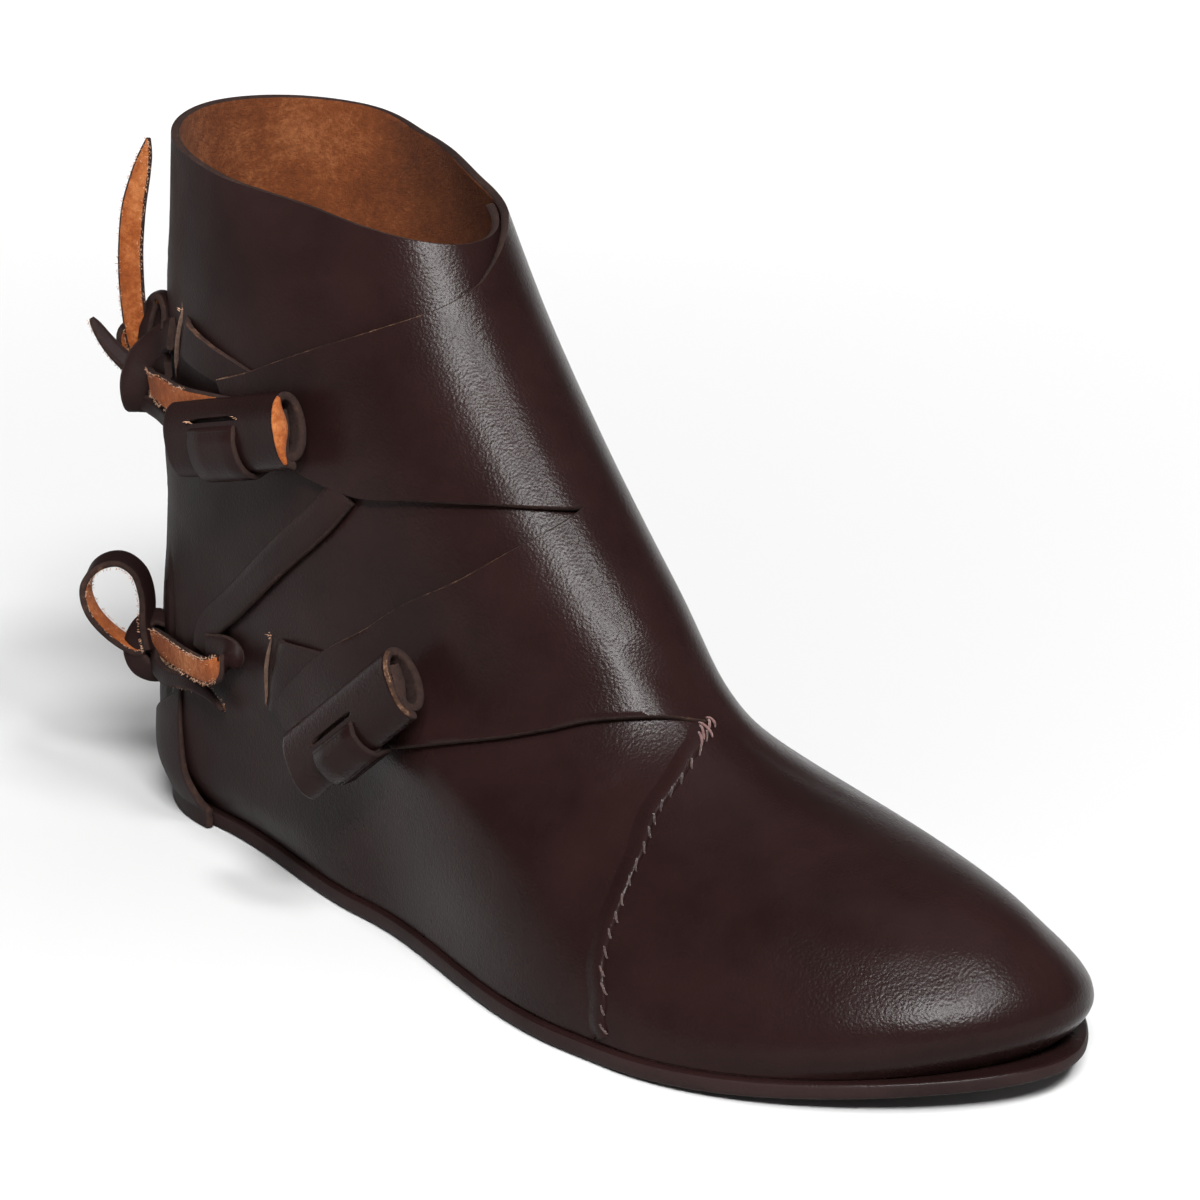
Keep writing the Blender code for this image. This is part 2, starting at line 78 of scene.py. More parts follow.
# The last, from the sole's feather edge up to the collar: places in per cent of the length and the
# collar height, half widths in per cent of half the ball width, and the shares that the ends take
Section = namedtuple(
    "Section",
    "back_x back_z front_x front_z lat_heel lat_waist lat_ball med_heel med_waist med_ball"
    " back_round front_round front_power",
)
SECTIONS = named(Section, [
    (1.1, 2.5, 98.2, 2.5, 56, 72, 101, 56, 54, 100, 0.13, 0.24, 1.8),
    (-0.9, 7.8, 100.7, 7.8, 66, 71, 100, 63, 60, 98, 0.14, 0.33, 2.0),
    (-1.4, 14.6, 96.8, 14.6, 67, 70, 94, 65, 64, 92, 0.15, 0.4, 1.9),
    (-1.1, 22.4, 90.8, 20.2, 66, 70, 85, 65, 66, 88, 0.17, 0.4, 1.85),
    (-0.6, 31.4, 75.6, 25.8, 65, 70, 76, 64, 66, 78, 0.2, 0.46, 1.9),
    (-0.1, 41.5, 66.8, 33.3, 65, 70, 68, 64, 66, 67, 0.25, 0.52, 2.0),
    (0.4, 53.8, 59.7, 45.9, 67, 70, 66, 65, 66, 66, 0.32, 0.54, 2.0),
    (1.6, 68.3, 50.7, 61.6, 68, 70, 65, 67, 68, 66, 0.38, 0.55, 2.0),
    (3.0, 84.0, 43.3, 75.6, 69, 69, 60, 71, 69, 64, 0.4, 0.55, 2.0),
    (4.8, 100.0, 38.3, 88.2, 67, 65, 50, 77, 67, 58, 0.37, 0.56, 2.0),
])

# Camera: where it stands in the shoe's frame, and where it looks
CAMERA_AT = (722.8, -500.7, 330.9)
CAMERA_YAW_DEG = 48.67
CAMERA_PITCH_DEG = 18.17
CAMERA_LENS = 105.0
SENSOR = 36.0


def smooth(share):
    share = np.clip(share, 0.0, 1.0)
    return share * share * (3.0 - 2.0 * share)


def through(rows, place):
    """Catmull-Rom curve through equally spaced rows, at place from 0 to 1."""
    rows = np.asarray(rows, float)
    last = len(rows) - 1
    along = np.clip(np.asarray(place, float), 0.0, 1.0) * last
    start = np.minimum(along.astype(int), last - 1)
    f = (along - start)[..., None]
    before = rows[np.maximum(start - 1, 0)]
    here = rows[start]
    there = rows[start + 1]
    after = rows[np.minimum(start + 2, last)]
    return 0.5 * (
        2 * here
        + (there - before) * f
        + (2 * before - 5 * here + 4 * there - after) * f**2
        + (3 * here - before - 3 * there + after) * f**3
    )


def spaced(count):
    """Evenly spaced numbers from nought to one."""
    return np.linspace(0.0, 1.0, count)


def unit(vectors):
    vectors = np.asarray(vectors, float)
    return vectors / np.maximum(np.linalg.norm(vectors, axis=-1, keepdims=True), 1e-9)


def half_width(t, heel, waist, ball, back_round, front_round, front_power):
    core = heel + (waist - heel) * smooth((t - HEEL_AT) / (WAIST_AT - HEEL_AT))
    core = core + (ball - waist) * smooth((t - WAIST_AT) / (BALL_AT - WAIST_AT))
    back = np.clip(1.0 - t / back_round, 0.0, 1.0)
    front = np.clip((t - (1.0 - front_round)) / front_round, 0.0, 1.0)
    return core * (1.0 - back**2) ** 0.5 * (1.0 - front**front_power) ** (1.0 / front_power)


def toe_lift(x):
    return TOE_SPRING * np.clip((x - SPRING_START) / (LENGTH - SPRING_START), 0.0, BEND_LIMIT) ** 2


def last_surface(u, v):
    """Point of the last: u runs round from the heel by the outer side and toe, v goes up."""
    u = np.mod(np.asarray(u, float), 1.0)
    section = through(SECTIONS, v)
    back_x, back_z, front_x, front_z = np.moveaxis(section[..., 0:4], -1, 0)
    lat = np.moveaxis(section[..., 4:7], -1, 0)
    med = np.moveaxis(section[..., 7:10], -1, 0)
    rounds = np.moveaxis(section[..., 10:13], -1, 0)
    t = (1.0 - np.cos(2.0 * np.pi * u)) / 2.0
    x = (back_x + (front_x - back_x) * t) * LENGTH / 100.0
    z = (back_z + (front_z - back_z) * t) * COLLAR_HEIGHT / 100.0
    wide = np.where(u <= 0.5, -half_width(t, *lat, *rounds), half_width(t, *med, *rounds))
    y = wide * BALL_WIDTH / 200.0
    swing = np.clip((x - SWING_START) / (LENGTH - SWING_START), 0.0, BEND_LIMIT)
    return np.stack([x, y + TOE_SWING * swing**2, z + toe_lift(x)], axis=-1)


def last_normal(u, v):
    u, v = np.broadcast_arrays(np.asarray(u, float), np.asarray(v, float))
    tiny = 1e-4
    along = last_surface(u + tiny, v) - last_surface(u - tiny, v)
    up = last_surface(u, np.minimum(v + tiny, 1.0)) - last_surface(u, np.maximum(v - tiny, 0.0))
    return unit(np.cross(along, up))


# Easing of the last's corners over the vamp, as heights on a grid of u and v
EASE_U = (0.2, 0.8)
EASE_V = (0.0, 0.62)
EASE_COLUMNS, EASE_ROWS, EASE_PASSES = 280, 90, 260
EASE_FADE_U, EASE_FADE_LOW, EASE_FADE_TOP = 0.08, 0.14, 0.16


def blurred(heights, weight):
    """Heights after many passes of a mean over the four neighbours, where weight allows."""
    for _ in range(EASE_PASSES):
        mean = heights[:-2, 1:-1] + heights[2:, 1:-1] + heights[1:-1, :-2] + heights[1:-1, 2:]
        heights = heights.copy()
        heights[1:-1, 1:-1] += (mean / 4.0 - heights[1:-1, 1:-1]) * 0.5 * weight[1:-1, 1:-1]
    return heights


def ease_heights():
    u, v = np.meshgrid(np.linspace(*EASE_U, EASE_COLUMNS + 1), np.linspace(*EASE_V, EASE_ROWS + 1))
    start = last_surface(u, v)
    weight = smooth(v / EASE_FADE_LOW) * smooth((EASE_V[1] - v) / EASE_FADE_TOP)
    weight = weight * smooth((u - EASE_U[0]) / EASE_FADE_U) * smooth((EASE_U[1] - u) / EASE_FADE_U)
    weight = weight[..., None]
    once = blurred(start, weight)
    twice = once + blurred(start - once, weight)
    return np.sum((twice - start) * last_normal(u, v), axis=-1)


EASED = ease_heights()


def eased(u, v):
    """Height of the easing at a place on the last."""
    column = np.clip((np.mod(u, 1.0) - EASE_U[0]) / (EASE_U[1] - EASE_U[0]), 0.0, 1.0) * EASE_COLUMNS
    row = np.clip((v - EASE_V[0]) / (EASE_V[1] - EASE_V[0]), 0.0, 1.0) * EASE_ROWS
    i = np.minimum(row.astype(int), EASE_ROWS - 1)
    j = np.minimum(column.astype(int), EASE_COLUMNS - 1)
    f, g = row - i, column - j
    low = EASED[i, j] * (1 - g) + EASED[i, j + 1] * g
    high = EASED[i + 1, j] * (1 - g) + EASED[i + 1, j + 1] * g
    return low * (1 - f) + high * f


def on_last(u, v, lift):
    u, v, lift = np.broadcast_arrays(*(np.asarray(a, float) for a in (u, v, lift)))
    return last_surface(u, v) + last_normal(u, v) * (lift + eased(u, v))[..., None]


def world(points):
    return (np.asarray(points, float) - (ORIGIN_X, 0.0, 0.0)) * MM


# Camera
def new_object(name, data):
    made = bpy.data.objects.new(name, data)
    bpy.context.scene.collection.objects.link(made)
    return made


def place_camera():
    data = bpy.data.cameras.new("camera")
    data.sensor_width = SENSOR
    data.lens = CAMERA_LENS
    data.clip_start = 0.01
    camera = new_object("camera", data)
    camera.location = world(CAMERA_AT).tolist()
    tilt = math.radians(90.0 - CAMERA_PITCH_DEG)
    camera.rotation_euler = (tilt, 0.0, math.radians(CAMERA_YAW_DEG))
    bpy.context.scene.camera = camera


place_camera()


# Materials
NOISE, MAP_RANGE, BUMP = "ShaderNodeTexNoise", "ShaderNodeMapRange", "ShaderNodeBump"


def put(tree, socket, value):
    """Links an output, or a node's first one, to a socket, or sets the socket's own value."""
    if isinstance(value, bpy.types.Node):
        value = value.outputs[0]
    if isinstance(value, bpy.types.NodeSocket):
        tree.links.new(value, socket)
    else:
        socket.default_value = value


def fill_node(tree, node, *operands, **values):
    """Gives a node its first inputs in their order, then its named settings and inputs."""
    for socket, value in zip(node.inputs, operands):
        put(tree, socket, value)
    for key, value in values.items():
        if hasattr(node, key):
            setattr(node, key, value)
        else:
            put(tree, node.inputs[key.replace("_", " ")], value)
    return node


def add_node(tree, kind, *operands, **values):
    return fill_node(tree, tree.nodes.new(kind), *operands, **values)


def add_ramp(tree, share, stops):
    node = add_node(tree, "ShaderNodeValToRGB", share)
    elements = node.color_ramp.elements
    while len(elements) < len(stops):
        elements.new(0.5)
    for element, (place, colour) in zip(elements, stops):
        element.position = place
        element.color = (*colour, 1.0)
    return node


def new_material(name):
    """Material with its node tree, its shader and the place on the object."""
    made = bpy.data.materials.new(name)
    made.use_nodes = True
    tree = made.node_tree
    place = tree.nodes.new("ShaderNodeTexCoord").outputs["Object"]
    return made, tree, tree.nodes["Principled BSDF"], place


# The heel is duller than the toe: added roughness, and where along X it starts to fade and is gone
MATT, MATT_FROM, MATT_TO = 0.3, -0.112, -0.036


def grain_leather(name, dark, light, rough, grain, gloss):
    """Dyed grain side: mottled colour, pebbled bump and uneven gloss."""
    made, tree, shader, place = new_material(name)
    mottle = add_node(tree, NOISE, place, Scale=38.0, Detail=5.0, Roughness=0.6)
    patchy = add_node(tree, NOISE, place, Scale=95.0, Detail=3.0)
    spread = add_node(tree, MAP_RANGE, patchy, 0.0, 1.0, rough - 0.06, rough + 0.09)
    along = add_node(tree, "ShaderNodeSeparateXYZ", place)
    matt = add_node(
        tree, MAP_RANGE, along, MATT_FROM, MATT_TO, MATT, 0.0, interpolation_type="SMOOTHSTEP"
    )
    wrinkle = add_node(tree, NOISE, place, Scale=330.0, Detail=4.0, Distortion=0.8)
    cells = add_node(
        tree, "ShaderNodeTexVoronoi", place, feature="SMOOTH_F1", Scale=1500.0, Smoothness=0.8
    )
    pores = add_node(tree, NOISE, place, Scale=2600.0, Detail=2.0)
    low = add_node(tree, BUMP, Strength=0.08 * grain, Distance=0.0005, Height=wrinkle)
    middle = add_node(tree, BUMP, Strength=0.26 * grain, Distance=0.0002, Height=cells, Normal=low)
    top = add_node(tree, BUMP, Strength=0.3 * grain, Distance=0.0001, Height=pores, Normal=middle)
    fill_node(
        tree, shader,
        Base_Color=add_ramp(tree, mottle, [(0.3, dark), (0.72, light)]),
        Roughness=add_node(tree, "ShaderNodeMath", spread, matt, operation="ADD"),
        Specular_IOR_Level=gloss,
        Normal=top,
    )
    return made


def flesh_leather(name, dark, middle, light, stops=(0.34, 0.5, 0.66), sheen=0.25):
    """Flesh side: matt and fibrous, with pale fibres standing out."""
    made, tree, shader, place = new_material(name)
    nap = add_node(tree, NOISE, place, Scale=520.0, Detail=6.0, Roughness=0.75)
    cloud = add_node(tree, NOISE, place, Scale=45.0, Detail=3.0)
    both = add_node(tree, "ShaderNodeMath", nap, cloud, operation="ADD")
    mean = add_node(tree, "ShaderNodeMath", both, 0.5, operation="MULTIPLY")
    fibre = add_node(tree, NOISE, place, Scale=1400.0, Detail=3.0, Roughness=0.8)
    fill_node(
        tree, shader,
        Base_Color=add_ramp(tree, mean, list(zip(stops, (dark, middle, light)))),
        Roughness=0.95,
        Specular_IOR_Level=0.15,
        Sheen_Weight=sheen,
        Sheen_Roughness=0.5,
        Normal=add_node(tree, BUMP, Strength=0.8, Distance=0.0006, Height=fibre),
    )
    return made


DARK_BROWN = (0.0088, 0.0039, 0.0036)
WARM_BROWN = (0.015, 0.0067, 0.0062)
GRAIN = grain_leather("grain_leather", DARK_BROWN, WARM_BROWN, 0.25, 1.0, 0.085)
FLESH = flesh_leather(
    "flesh_leather", (0.072, 0.019, 0.0054), (0.128, 0.0352, 0.01), (0.235, 0.082, 0.029),
    sheen=0.03,
)
# Flesh of the thongs: more orange than the collar's, and also painted lighter, standing in for light on
# thongs that lie in shade
THONG_FLESH_WITH_PAINTED_LIGHT = flesh_leather(
    "thong_flesh_with_painted_light", (0.112, 0.025, 0.0052), (0.218, 0.054, 0.0112), (0.38, 0.14, 0.046),
    sheen=0.03,
)
CUT = flesh_leather(
    "cut_edge", (0.0143, 0.0079, 0.0068), (0.029, 0.0154, 0.0121), (0.176, 0.088, 0.048),
    stops=(0.4, 0.58, 0.76), sheen=0.0,
)
# Pale cut edge: the instep toggle's end rim, and a painted highlight along the flaps' top edges
PALE_CUT_AND_HIGHLIGHT = flesh_leather(
    "pale_cut_and_painted_highlight", (0.0132, 0.0066, 0.0053), (0.048, 0.023, 0.0136), (0.264, 0.154, 0.092),
    stops=(0.42, 0.52, 0.64), sheen=0.0,
)
LIP = flesh_leather("slit_lip", (0.05, 0.023, 0.014), (0.12, 0.066, 0.042), (0.3, 0.2, 0.14))
SOLE_EDGE = grain_leather(
    "sole_edge", (0.0125, 0.0064, 0.0062), (0.024, 0.0124, 0.0117), 0.6, 1.2, 0.1
)
THREAD = flesh_leather(
    "thread", (0.0176, 0.0099, 0.0099), (0.04, 0.023, 0.022), (0.11, 0.066, 0.057)
)
PINK_THREAD = flesh_leather(
    "pink_thread", (0.04, 0.016, 0.016), (0.09, 0.038, 0.036), (0.18, 0.095, 0.086)
)
FIBRE = flesh_leather("fibre", (0.176, 0.075, 0.037), (0.374, 0.198, 0.114), (0.594, 0.385, 0.264))
SHELL_MATERIALS = (GRAIN, FLESH, CUT, PALE_CUT_AND_HIGHLIGHT, LIP)
THONG_MATERIALS = (GRAIN, THONG_FLESH_WITH_PAINTED_LIGHT, CUT, PALE_CUT_AND_HIGHLIGHT)


# Mesh building
SHARP_DEG = 50.0


def finish_piece(name, points, faces, slots, materials, nodes=()):
    """Mesh piece in the frame, shaded smooth, riding on the one body in the place of some solids."""
    mesh = bpy.data.meshes.new(name)
    mesh.from_pydata(world(points).tolist(), [], [list(map(int, f)) for f in faces])
    for made in materials:
        mesh.materials.append(made)
    mesh.polygons.foreach_set("material_index", np.asarray(slots, np.int32))
    mesh.validate()
    mesh.shade_smooth()
    mesh.set_sharp_from_angle(angle=math.radians(SHARP_DEG))
    piece = new_object(name, mesh)
    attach(piece, "root")
    if nodes:
        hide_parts(*nodes)
    return piece


def ring_faces(rings, around, start=0):
    """Quads between rings of points that follow each other."""
    faces = []
    for a in range(start, start + (rings - 1) * around, around):
        for k in range(around):
            j = (k + 1) % around
            faces.append([a + k, a + j, a + around + j, a + around + k])
    return faces


# Rings of a cut edge, counted from the grain side, that turn pale at a light rim; on the flaps' top
# edges this pale is partly a painted highlight
LIGHT_LEVELS = 2


class Sheet:
    """Leather under construction: grain and flesh points that share an index, and quads."""

    def __init__(self):
        self.grain = np.zeros((0, 3))
        self.flesh = np.zeros((0, 3))
        self.quads = []

    def add(self, grain, flesh):
        """Appends a grid of points and returns their indices."""
        start = len(self.grain)
        self.grain = np.concatenate([self.grain, grain.reshape(-1, 3)])
        self.flesh = np.concatenate([self.flesh, flesh.reshape(-1, 3)])
        return np.arange(start, len(self.grain)).reshape(grain.shape[:2])

    def split(self, old, move_old, move_new):
        """Doubles a point, moves both and returns the new one's index."""
        new = self.add(self.grain[old].reshape(1, 1, 3), self.flesh[old].reshape(1, 1, 3))[0, 0]
        for cloud in (self.grain, self.flesh):
            cloud[old] += move_old
            cloud[new] += move_new
        return new

    def fill(self, index, flip=False):
        """Quads over a grid of indices whose columns run with u and rows with v."""
        a, b, c, d = index[:-1, :-1], index[:-1, 1:], index[1:, 1:], index[1:, :-1]
        order = (a, d, c, b) if flip else (a, b, c, d)
        self.quads += np.stack(order, axis=-1).reshape(-1, 4).tolist()

    def build(
        self, name, *nodes, slot="grain_leather", edge=0.35, pale_and_highlit_rim=(), lips=(),
        materials=SHELL_MATERIALS,
    ):
        """Closed piece: grain faces, flesh faces and a rounded cut edge, pale at the given rim and
        lips; the pale rim on the flaps' top edges is partly a painted highlight.
        """
        count = len(self.grain)
        quads = np.array(self.quads)
        directed = np.concatenate([quads[:, [k, (k + 1) % 4]] for k in range(4)])
        keys = set(map(tuple, directed.tolist()))
        border = [(a, b) for a, b in directed.tolist() if (b, a) not in keys]
        out = np.zeros((count, 3))
        face_up = unit(self.grain - self.flesh)
        for a, b in border:
            right = np.cross(self.grain[b] - self.grain[a], face_up[a] + face_up[b])
            out[a] += right
            out[b] += right
        out = unit(out)
        used = sorted({i for pair in border for i in pair})
        slot_of = {i: k for k, i in enumerate(used)}
        thick = self.flesh[used] - self.grain[used]
        loops = [
            self.grain[used] + thick * depth + out[used] * edge * bulge
            for depth, bulge in ((0.16, 0.75), (0.5, 1.0), (0.84, 0.75))
        ]
        points = np.concatenate([self.grain, self.flesh, *loops])

        def ring(i, level):
            if level == 0:
                return i
            if level == len(loops) + 1:
                return i + count
            return 2 * count + (level - 1) * len(used) + slot_of[i]

        faces = quads.tolist() + (quads[:, ::-1] + count).tolist()
        slots = [0] * len(quads) + [1] * len(quads)
        for a, b in border:
            for level in range(len(loops) + 1):
                faces.append(
                    [ring(b, level), ring(a, level), ring(a, level + 1), ring(b, level + 1)]
                )
                # Pale rim: a paler cut, and on the flaps' top edges also a painted highlight
                light = level < LIGHT_LEVELS and a in pale_and_highlit_rim and b in pale_and_highlit_rim
                lip = level < LIGHT_LEVELS and a in lips and b in lips
                slots.append(4 if lip else 3 if light else 2)
        finish_piece(name, points, faces, slots, materials, nodes)


# Upper: rows of v, with the throat and the notch on rows of their own
V_THROAT = 0.5645
V_NOTCH = 0.7489
VAMP_ROWS, INSTEP_ROWS, ANKLE_ROWS = 62, 22, 28
SIDE_COLUMNS = 150
TRIM_FROM = 0.82
# The quarter's end under the wrapped side: the v it starts at, the u it reaches and how far it sinks
UNDER_FROM_V, UNDER_TO_U, UNDER_TUCK, UNDER_COLUMNS = 0.86, 0.64, 0.15, 24
# The wrapped side's rise over the quarter: in u from none, over a stretch, and in v over a stretch,
# which starts lower by some v from a u on
RISE_FROM_U, RISE_OVER_U, RISE_OVER_V = 0.97, 0.37, 0.09
EARLY_V, EARLY_FROM_U, EARLY_OVER_U = 0.22, 0.515, 0.09
Spot = namedtuple("Spot", "u v")
Rib = namedtuple("Rib", "low_u low_v high_u high_v")
ANKLE_RIBS = named(Rib, [
    (0.4861, 0.7489, 0.4868, 0.9488), (0.4452, 0.7517, 0.436, 0.9278),
    (0.4009, 0.7506, 0.3767, 0.9023), (0.3492, 0.7418, 0.3237, 0.8718),
    (0.3022, 0.7285, 0.2794, 0.8413), (0.2595, 0.7364, 0.2438, 0.814),
    (0.222, 0.757, 0.215, 0.795),
])
INSTEP_RIBS = named(Rib, [
    (0.512, 0.5645, 0.4861, 0.7489), (0.4581, 0.5745, 0.4428, 0.7334),
    (0.409, 0.5642, 0.3981, 0.7111), (0.373, 0.538, 0.355, 0.678),
    (0.3416, 0.5055, 0.3127, 0.6358), (0.306, 0.464, 0.2815, 0.587),
    (0.268, 0.417, 0.2515, 0.5345), (0.228, 0.374, 0.2235, 0.462),
    (0.192, 0.337, 0.1945, 0.383),
])
ANKLE_COLUMNS, INSTEP_COLUMNS = 66, 74
Slit = namedtuple("Slit", "top low reach_u reach_v open lip")
SLITS = [
    Slit(Spot(0.1662, 0.8406), Spot(0.137, 0.7654), 0.055, 0.06, 0.5, 0.9),
    Slit(Spot(0.2102, 0.5079), Spot(0.1801, 0.3579), 0.06, 0.07, 0.45, 0.35),
]


def weld_u(v):
    """Where the wrapped side passes into the flaps."""
    return np.interp(v, [V_THROAT, V_NOTCH, 1.0], [0.512, 0.4861, 0.4868])


def trimmed(v, u):
    """The wrapped side's own v: near the front its top edge leaves the collar."""
    top = np.interp(u, [0.4868, 0.5247, 0.56, 0.59], [0.9488, 0.9697, 0.988, 1.0])
    return np.where(v > TRIM_FROM, TRIM_FROM + (v - TRIM_FROM) * (top - TRIM_FROM) / (1 - TRIM_FROM), v)


def wrap_rise(u, v):
    """Lift of the wrapped side over the other quarter."""
    around = smooth((RISE_FROM_U - u) / RISE_OVER_U)
    early = EARLY_V * smooth((u - EARLY_FROM_U) / EARLY_OVER_U)
    return LAYER * around * smooth((v - V_THROAT + early) / (RISE_OVER_V + early))


Crease = namedtuple("Crease", "spots width height")
CREASES = named(Crease, [
    ([(0.07, 0.18), (0.08, 0.3), (0.086, 0.42), (0.082, 0.56)], 1.4, -1.2),
    ([(0.1, 0.22), (0.106, 0.34), (0.114, 0.45), (0.11, 0.55)], 1.3, -1.0),
    ([(0.052, 0.26), (0.06, 0.38), (0.064, 0.52)], 1.5, -1.1),
    ([(0.06, 0.6), (0.068, 0.7), (0.074, 0.8), (0.07, 0.92)], 14.0, 1.2),
    ([(0.123, 0.28), (0.128, 0.38), (0.132, 0.47)], 2.4, 0.5),
    ([(0.092, 0.24), (0.097, 0.36), (0.099, 0.5)], 0.9, -0.6),
    ([(0.364, 0.43), (0.376, 0.452), (0.388, 0.468)], 1.6, -0.45),
    ([(0.352, 0.432), (0.363, 0.455), (0.374, 0.476)], 1.6, -0.45),
    ([(0.378, 0.446), (0.391, 0.47), (0.404, 0.49)], 1.5, -0.4),
    ([(0.338, 0.395), (0.349, 0.42), (0.357, 0.44)], 1.8, -0.4),
])


def relief(u, v):
    """Height of the creases at a place on the last."""
    points = on_last(u, v, 0.0)
    total = np.zeros(points.shape[:-1])
    for crease in CREASES:
        path = through(crease.spots, spaced(8 * len(crease.spots)))
        line = on_last(path[:, 0], path[:, 1], 0.0)
        gaps = np.linalg.norm(points[..., None, :] - line, axis=-1)
        nearest = gaps.argmin(axis=-1) / (len(line) - 1)
        fade = smooth(nearest / 0.25) * smooth((1.0 - nearest) / 0.25)
        total += crease.height * np.exp(-((gaps.min(axis=-1) / crease.width) ** 2)) * fade
    return total


def sheet_grid(u, v, lift):
    lift = lift + relief(u, v)
    return on_last(u, v, lift), on_last(u, v, lift - LEATHER)


def slit_warp(q, v):
    """Bends the columns of the outer quarter so that one runs along each slit."""
    u = q * weld_u(v)
    chosen = []
    for slit in SLITS:
        middle_v = (slit.top.v + slit.low.v) / 2
        middle_u = (slit.top.u + slit.low.u) / 2
        column = round(float(middle_u / weld_u(middle_v)) * SIDE_COLUMNS)
        share = np.clip((v - slit.low.v) / (slit.top.v - slit.low.v), 0.0, 1.0)
        aim = slit.low.u + (slit.top.u - slit.low.u) * share
        own = column / SIDE_COLUMNS * weld_u(v)
        near_u = 1.0 - smooth(np.abs(u - own) / slit.reach_u)
        below = smooth((v - slit.low.v + slit.reach_v) / slit.reach_v)
        above = smooth((slit.top.v + slit.reach_v - v) / slit.reach_v)
        u = u + (aim - own) * near_u * below * above
        chosen.append(column)
    return u, chosen


def cut_slit(sheet, index, column, slit, v_rows):
    """Splits a column of points along a slit, opens it and raises its rear lip; gives the lips too."""
    rows = [r for r, v in enumerate(v_rows) if slit.low.v < v < slit.top.v]
    front = index.copy()
    lips = set()
    for r in rows:
        share = (v_rows[r] - slit.low.v) / (slit.top.v - slit.low.v)
        swell = math.sin(math.pi * share) ** 0.6
        old = index[r, column]
        run = unit(sheet.grain[index[r, column + 1]] - sheet.grain[index[r, column - 1]])
        out = unit(sheet.grain[old] - sheet.flesh[old])
        behind = -run * slit.open * swell + out * slit.lip * swell
        ahead = run * slit.open * swell - out * 0.3 * swell
        new = sheet.split(old, behind, ahead)
        front[r, column] = new
        lips |= {int(old), int(new)}
    lips |= {int(index[rows[0] - 1, column]), int(index[rows[-1] + 1, column])}
    return front, lips


def make_upper():
    sheet = Sheet()
    v_rows = np.concatenate([
        np.linspace(0.0, V_THROAT, VAMP_ROWS + 1),
        np.linspace(V_THROAT, V_NOTCH, INSTEP_ROWS + 1)[1:],
        np.linspace(V_NOTCH, 1.0, ANKLE_ROWS + 1)[1:],
    ])
    shares = spaced(SIDE_COLUMNS + 1)
    q, v = np.meshgrid(shares, v_rows)
    u, columns = slit_warp(q, v)
    quarter = sheet.add(*sheet_grid(u, v, np.zeros_like(u)))

    start = weld_u(v)
    u = start + (1.0 - start) * q
    v_side = trimmed(v, u)
    wrapped = sheet.add(*sheet_grid(u, v_side, wrap_rise(u, v_side)))
    wrapped[:, -1] = quarter[:, 0]
    wrapped[: VAMP_ROWS + 1, 0] = quarter[: VAMP_ROWS + 1, -1]

    left = 0
    pale = set()
    slit_lips = set()
    for column, slit in sorted(zip(columns, SLITS)):
        front, lips = cut_slit(sheet, quarter, column, slit, v_rows)
        slit_lips |= lips
        sheet.fill(quarter[:, left : column + 1])
        quarter = front
        left = column
    sheet.fill(quarter[:, left:])
    sheet.fill(wrapped)

    first = VAMP_ROWS
    for ribs, rows, count in (
        (INSTEP_RIBS, INSTEP_ROWS, INSTEP_COLUMNS),
        (ANKLE_RIBS, ANKLE_ROWS, ANKLE_COLUMNS),
    ):
        weld = wrapped[first : first + rows + 1, 0]
        pale |= add_flap(sheet, ribs, v_rows[first : first + rows + 1], weld, count)
        first += rows

    under_rows = [r for r, value in enumerate(v_rows) if value > UNDER_FROM_V]
    share = spaced(UNDER_COLUMNS)
    u = weld_u(v_rows[under_rows])[:, None] * (1 - share) + UNDER_TO_U * share
    v = np.repeat(v_rows[under_rows][:, None], UNDER_COLUMNS, axis=1)
    under = sheet.add(*sheet_grid(u, v, np.zeros_like(u) - UNDER_TUCK * share))
    under[:, 0] = quarter[under_rows, -1]
    sheet.fill(under)
    nodes = ("upper", "ankle_flap", "instep_flap")
    # The flaps' top edges take the pale cut, partly a painted highlight where they face the light
    sheet.build("upper_leather", *nodes, pale_and_highlit_rim=pale, lips=slit_lips)


def add_flap(sheet, ribs, v_rows, weld, count):
    """Flap welded to the wrapped side, one leather over the outer quarter; gives its top edge, which is
    painted pale as a highlight over its cut.
    """
    s = spaced(count + 1)
    edges = through(ribs, s)
    share = ((v_rows - v_rows[0]) / (v_rows[-1] - v_rows[0]))[:, None, None]
    spots = edges[None, :, 0:2] * (1 - share) + edges[None, :, 2:4] * share
    start_u = weld_u(v_rows)
    start = np.stack([start_u, trimmed(v_rows, start_u)], axis=-1)
    ease = 1.0 - smooth(s / 0.3)
    spots = spots + (start[:, None] - spots[:, :1]) * ease[None, :, None]
    rise = np.maximum(wrap_rise(start_u, start[:, 1])[:, None], LAYER * smooth(s / 0.16))
    grain, flesh = sheet_grid(spots[..., 0], spots[..., 1], rise)
    index = sheet.add(grain, flesh)
    index[:, 0] = weld
    sheet.fill(index, flip=True)
    return set(index[-1, count // 4 :].tolist())


make_upper()


# Sole and heel riser
SOLE_MARGIN = 1.5
SOLE_TIP = 4.8
SOLE_THIN = 0.22
SOLE_COLUMNS = 260
SOLE_EDGE_RINGS = 6
SoleSpot = namedtuple("SoleSpot", "inset z")
SOLE_PROFILE = named(SoleSpot, [
    (-1.1, 0.0), (-0.4, 0.12), (-0.08, 0.5), (0.0, 1.3), (0.05, 2.1), (0.0, 3.0),
    (-0.1, 3.7), (-0.45, 4.1), (-1.2, 4.2), (-3.4, 4.2), (-7.0, 4.2),
])


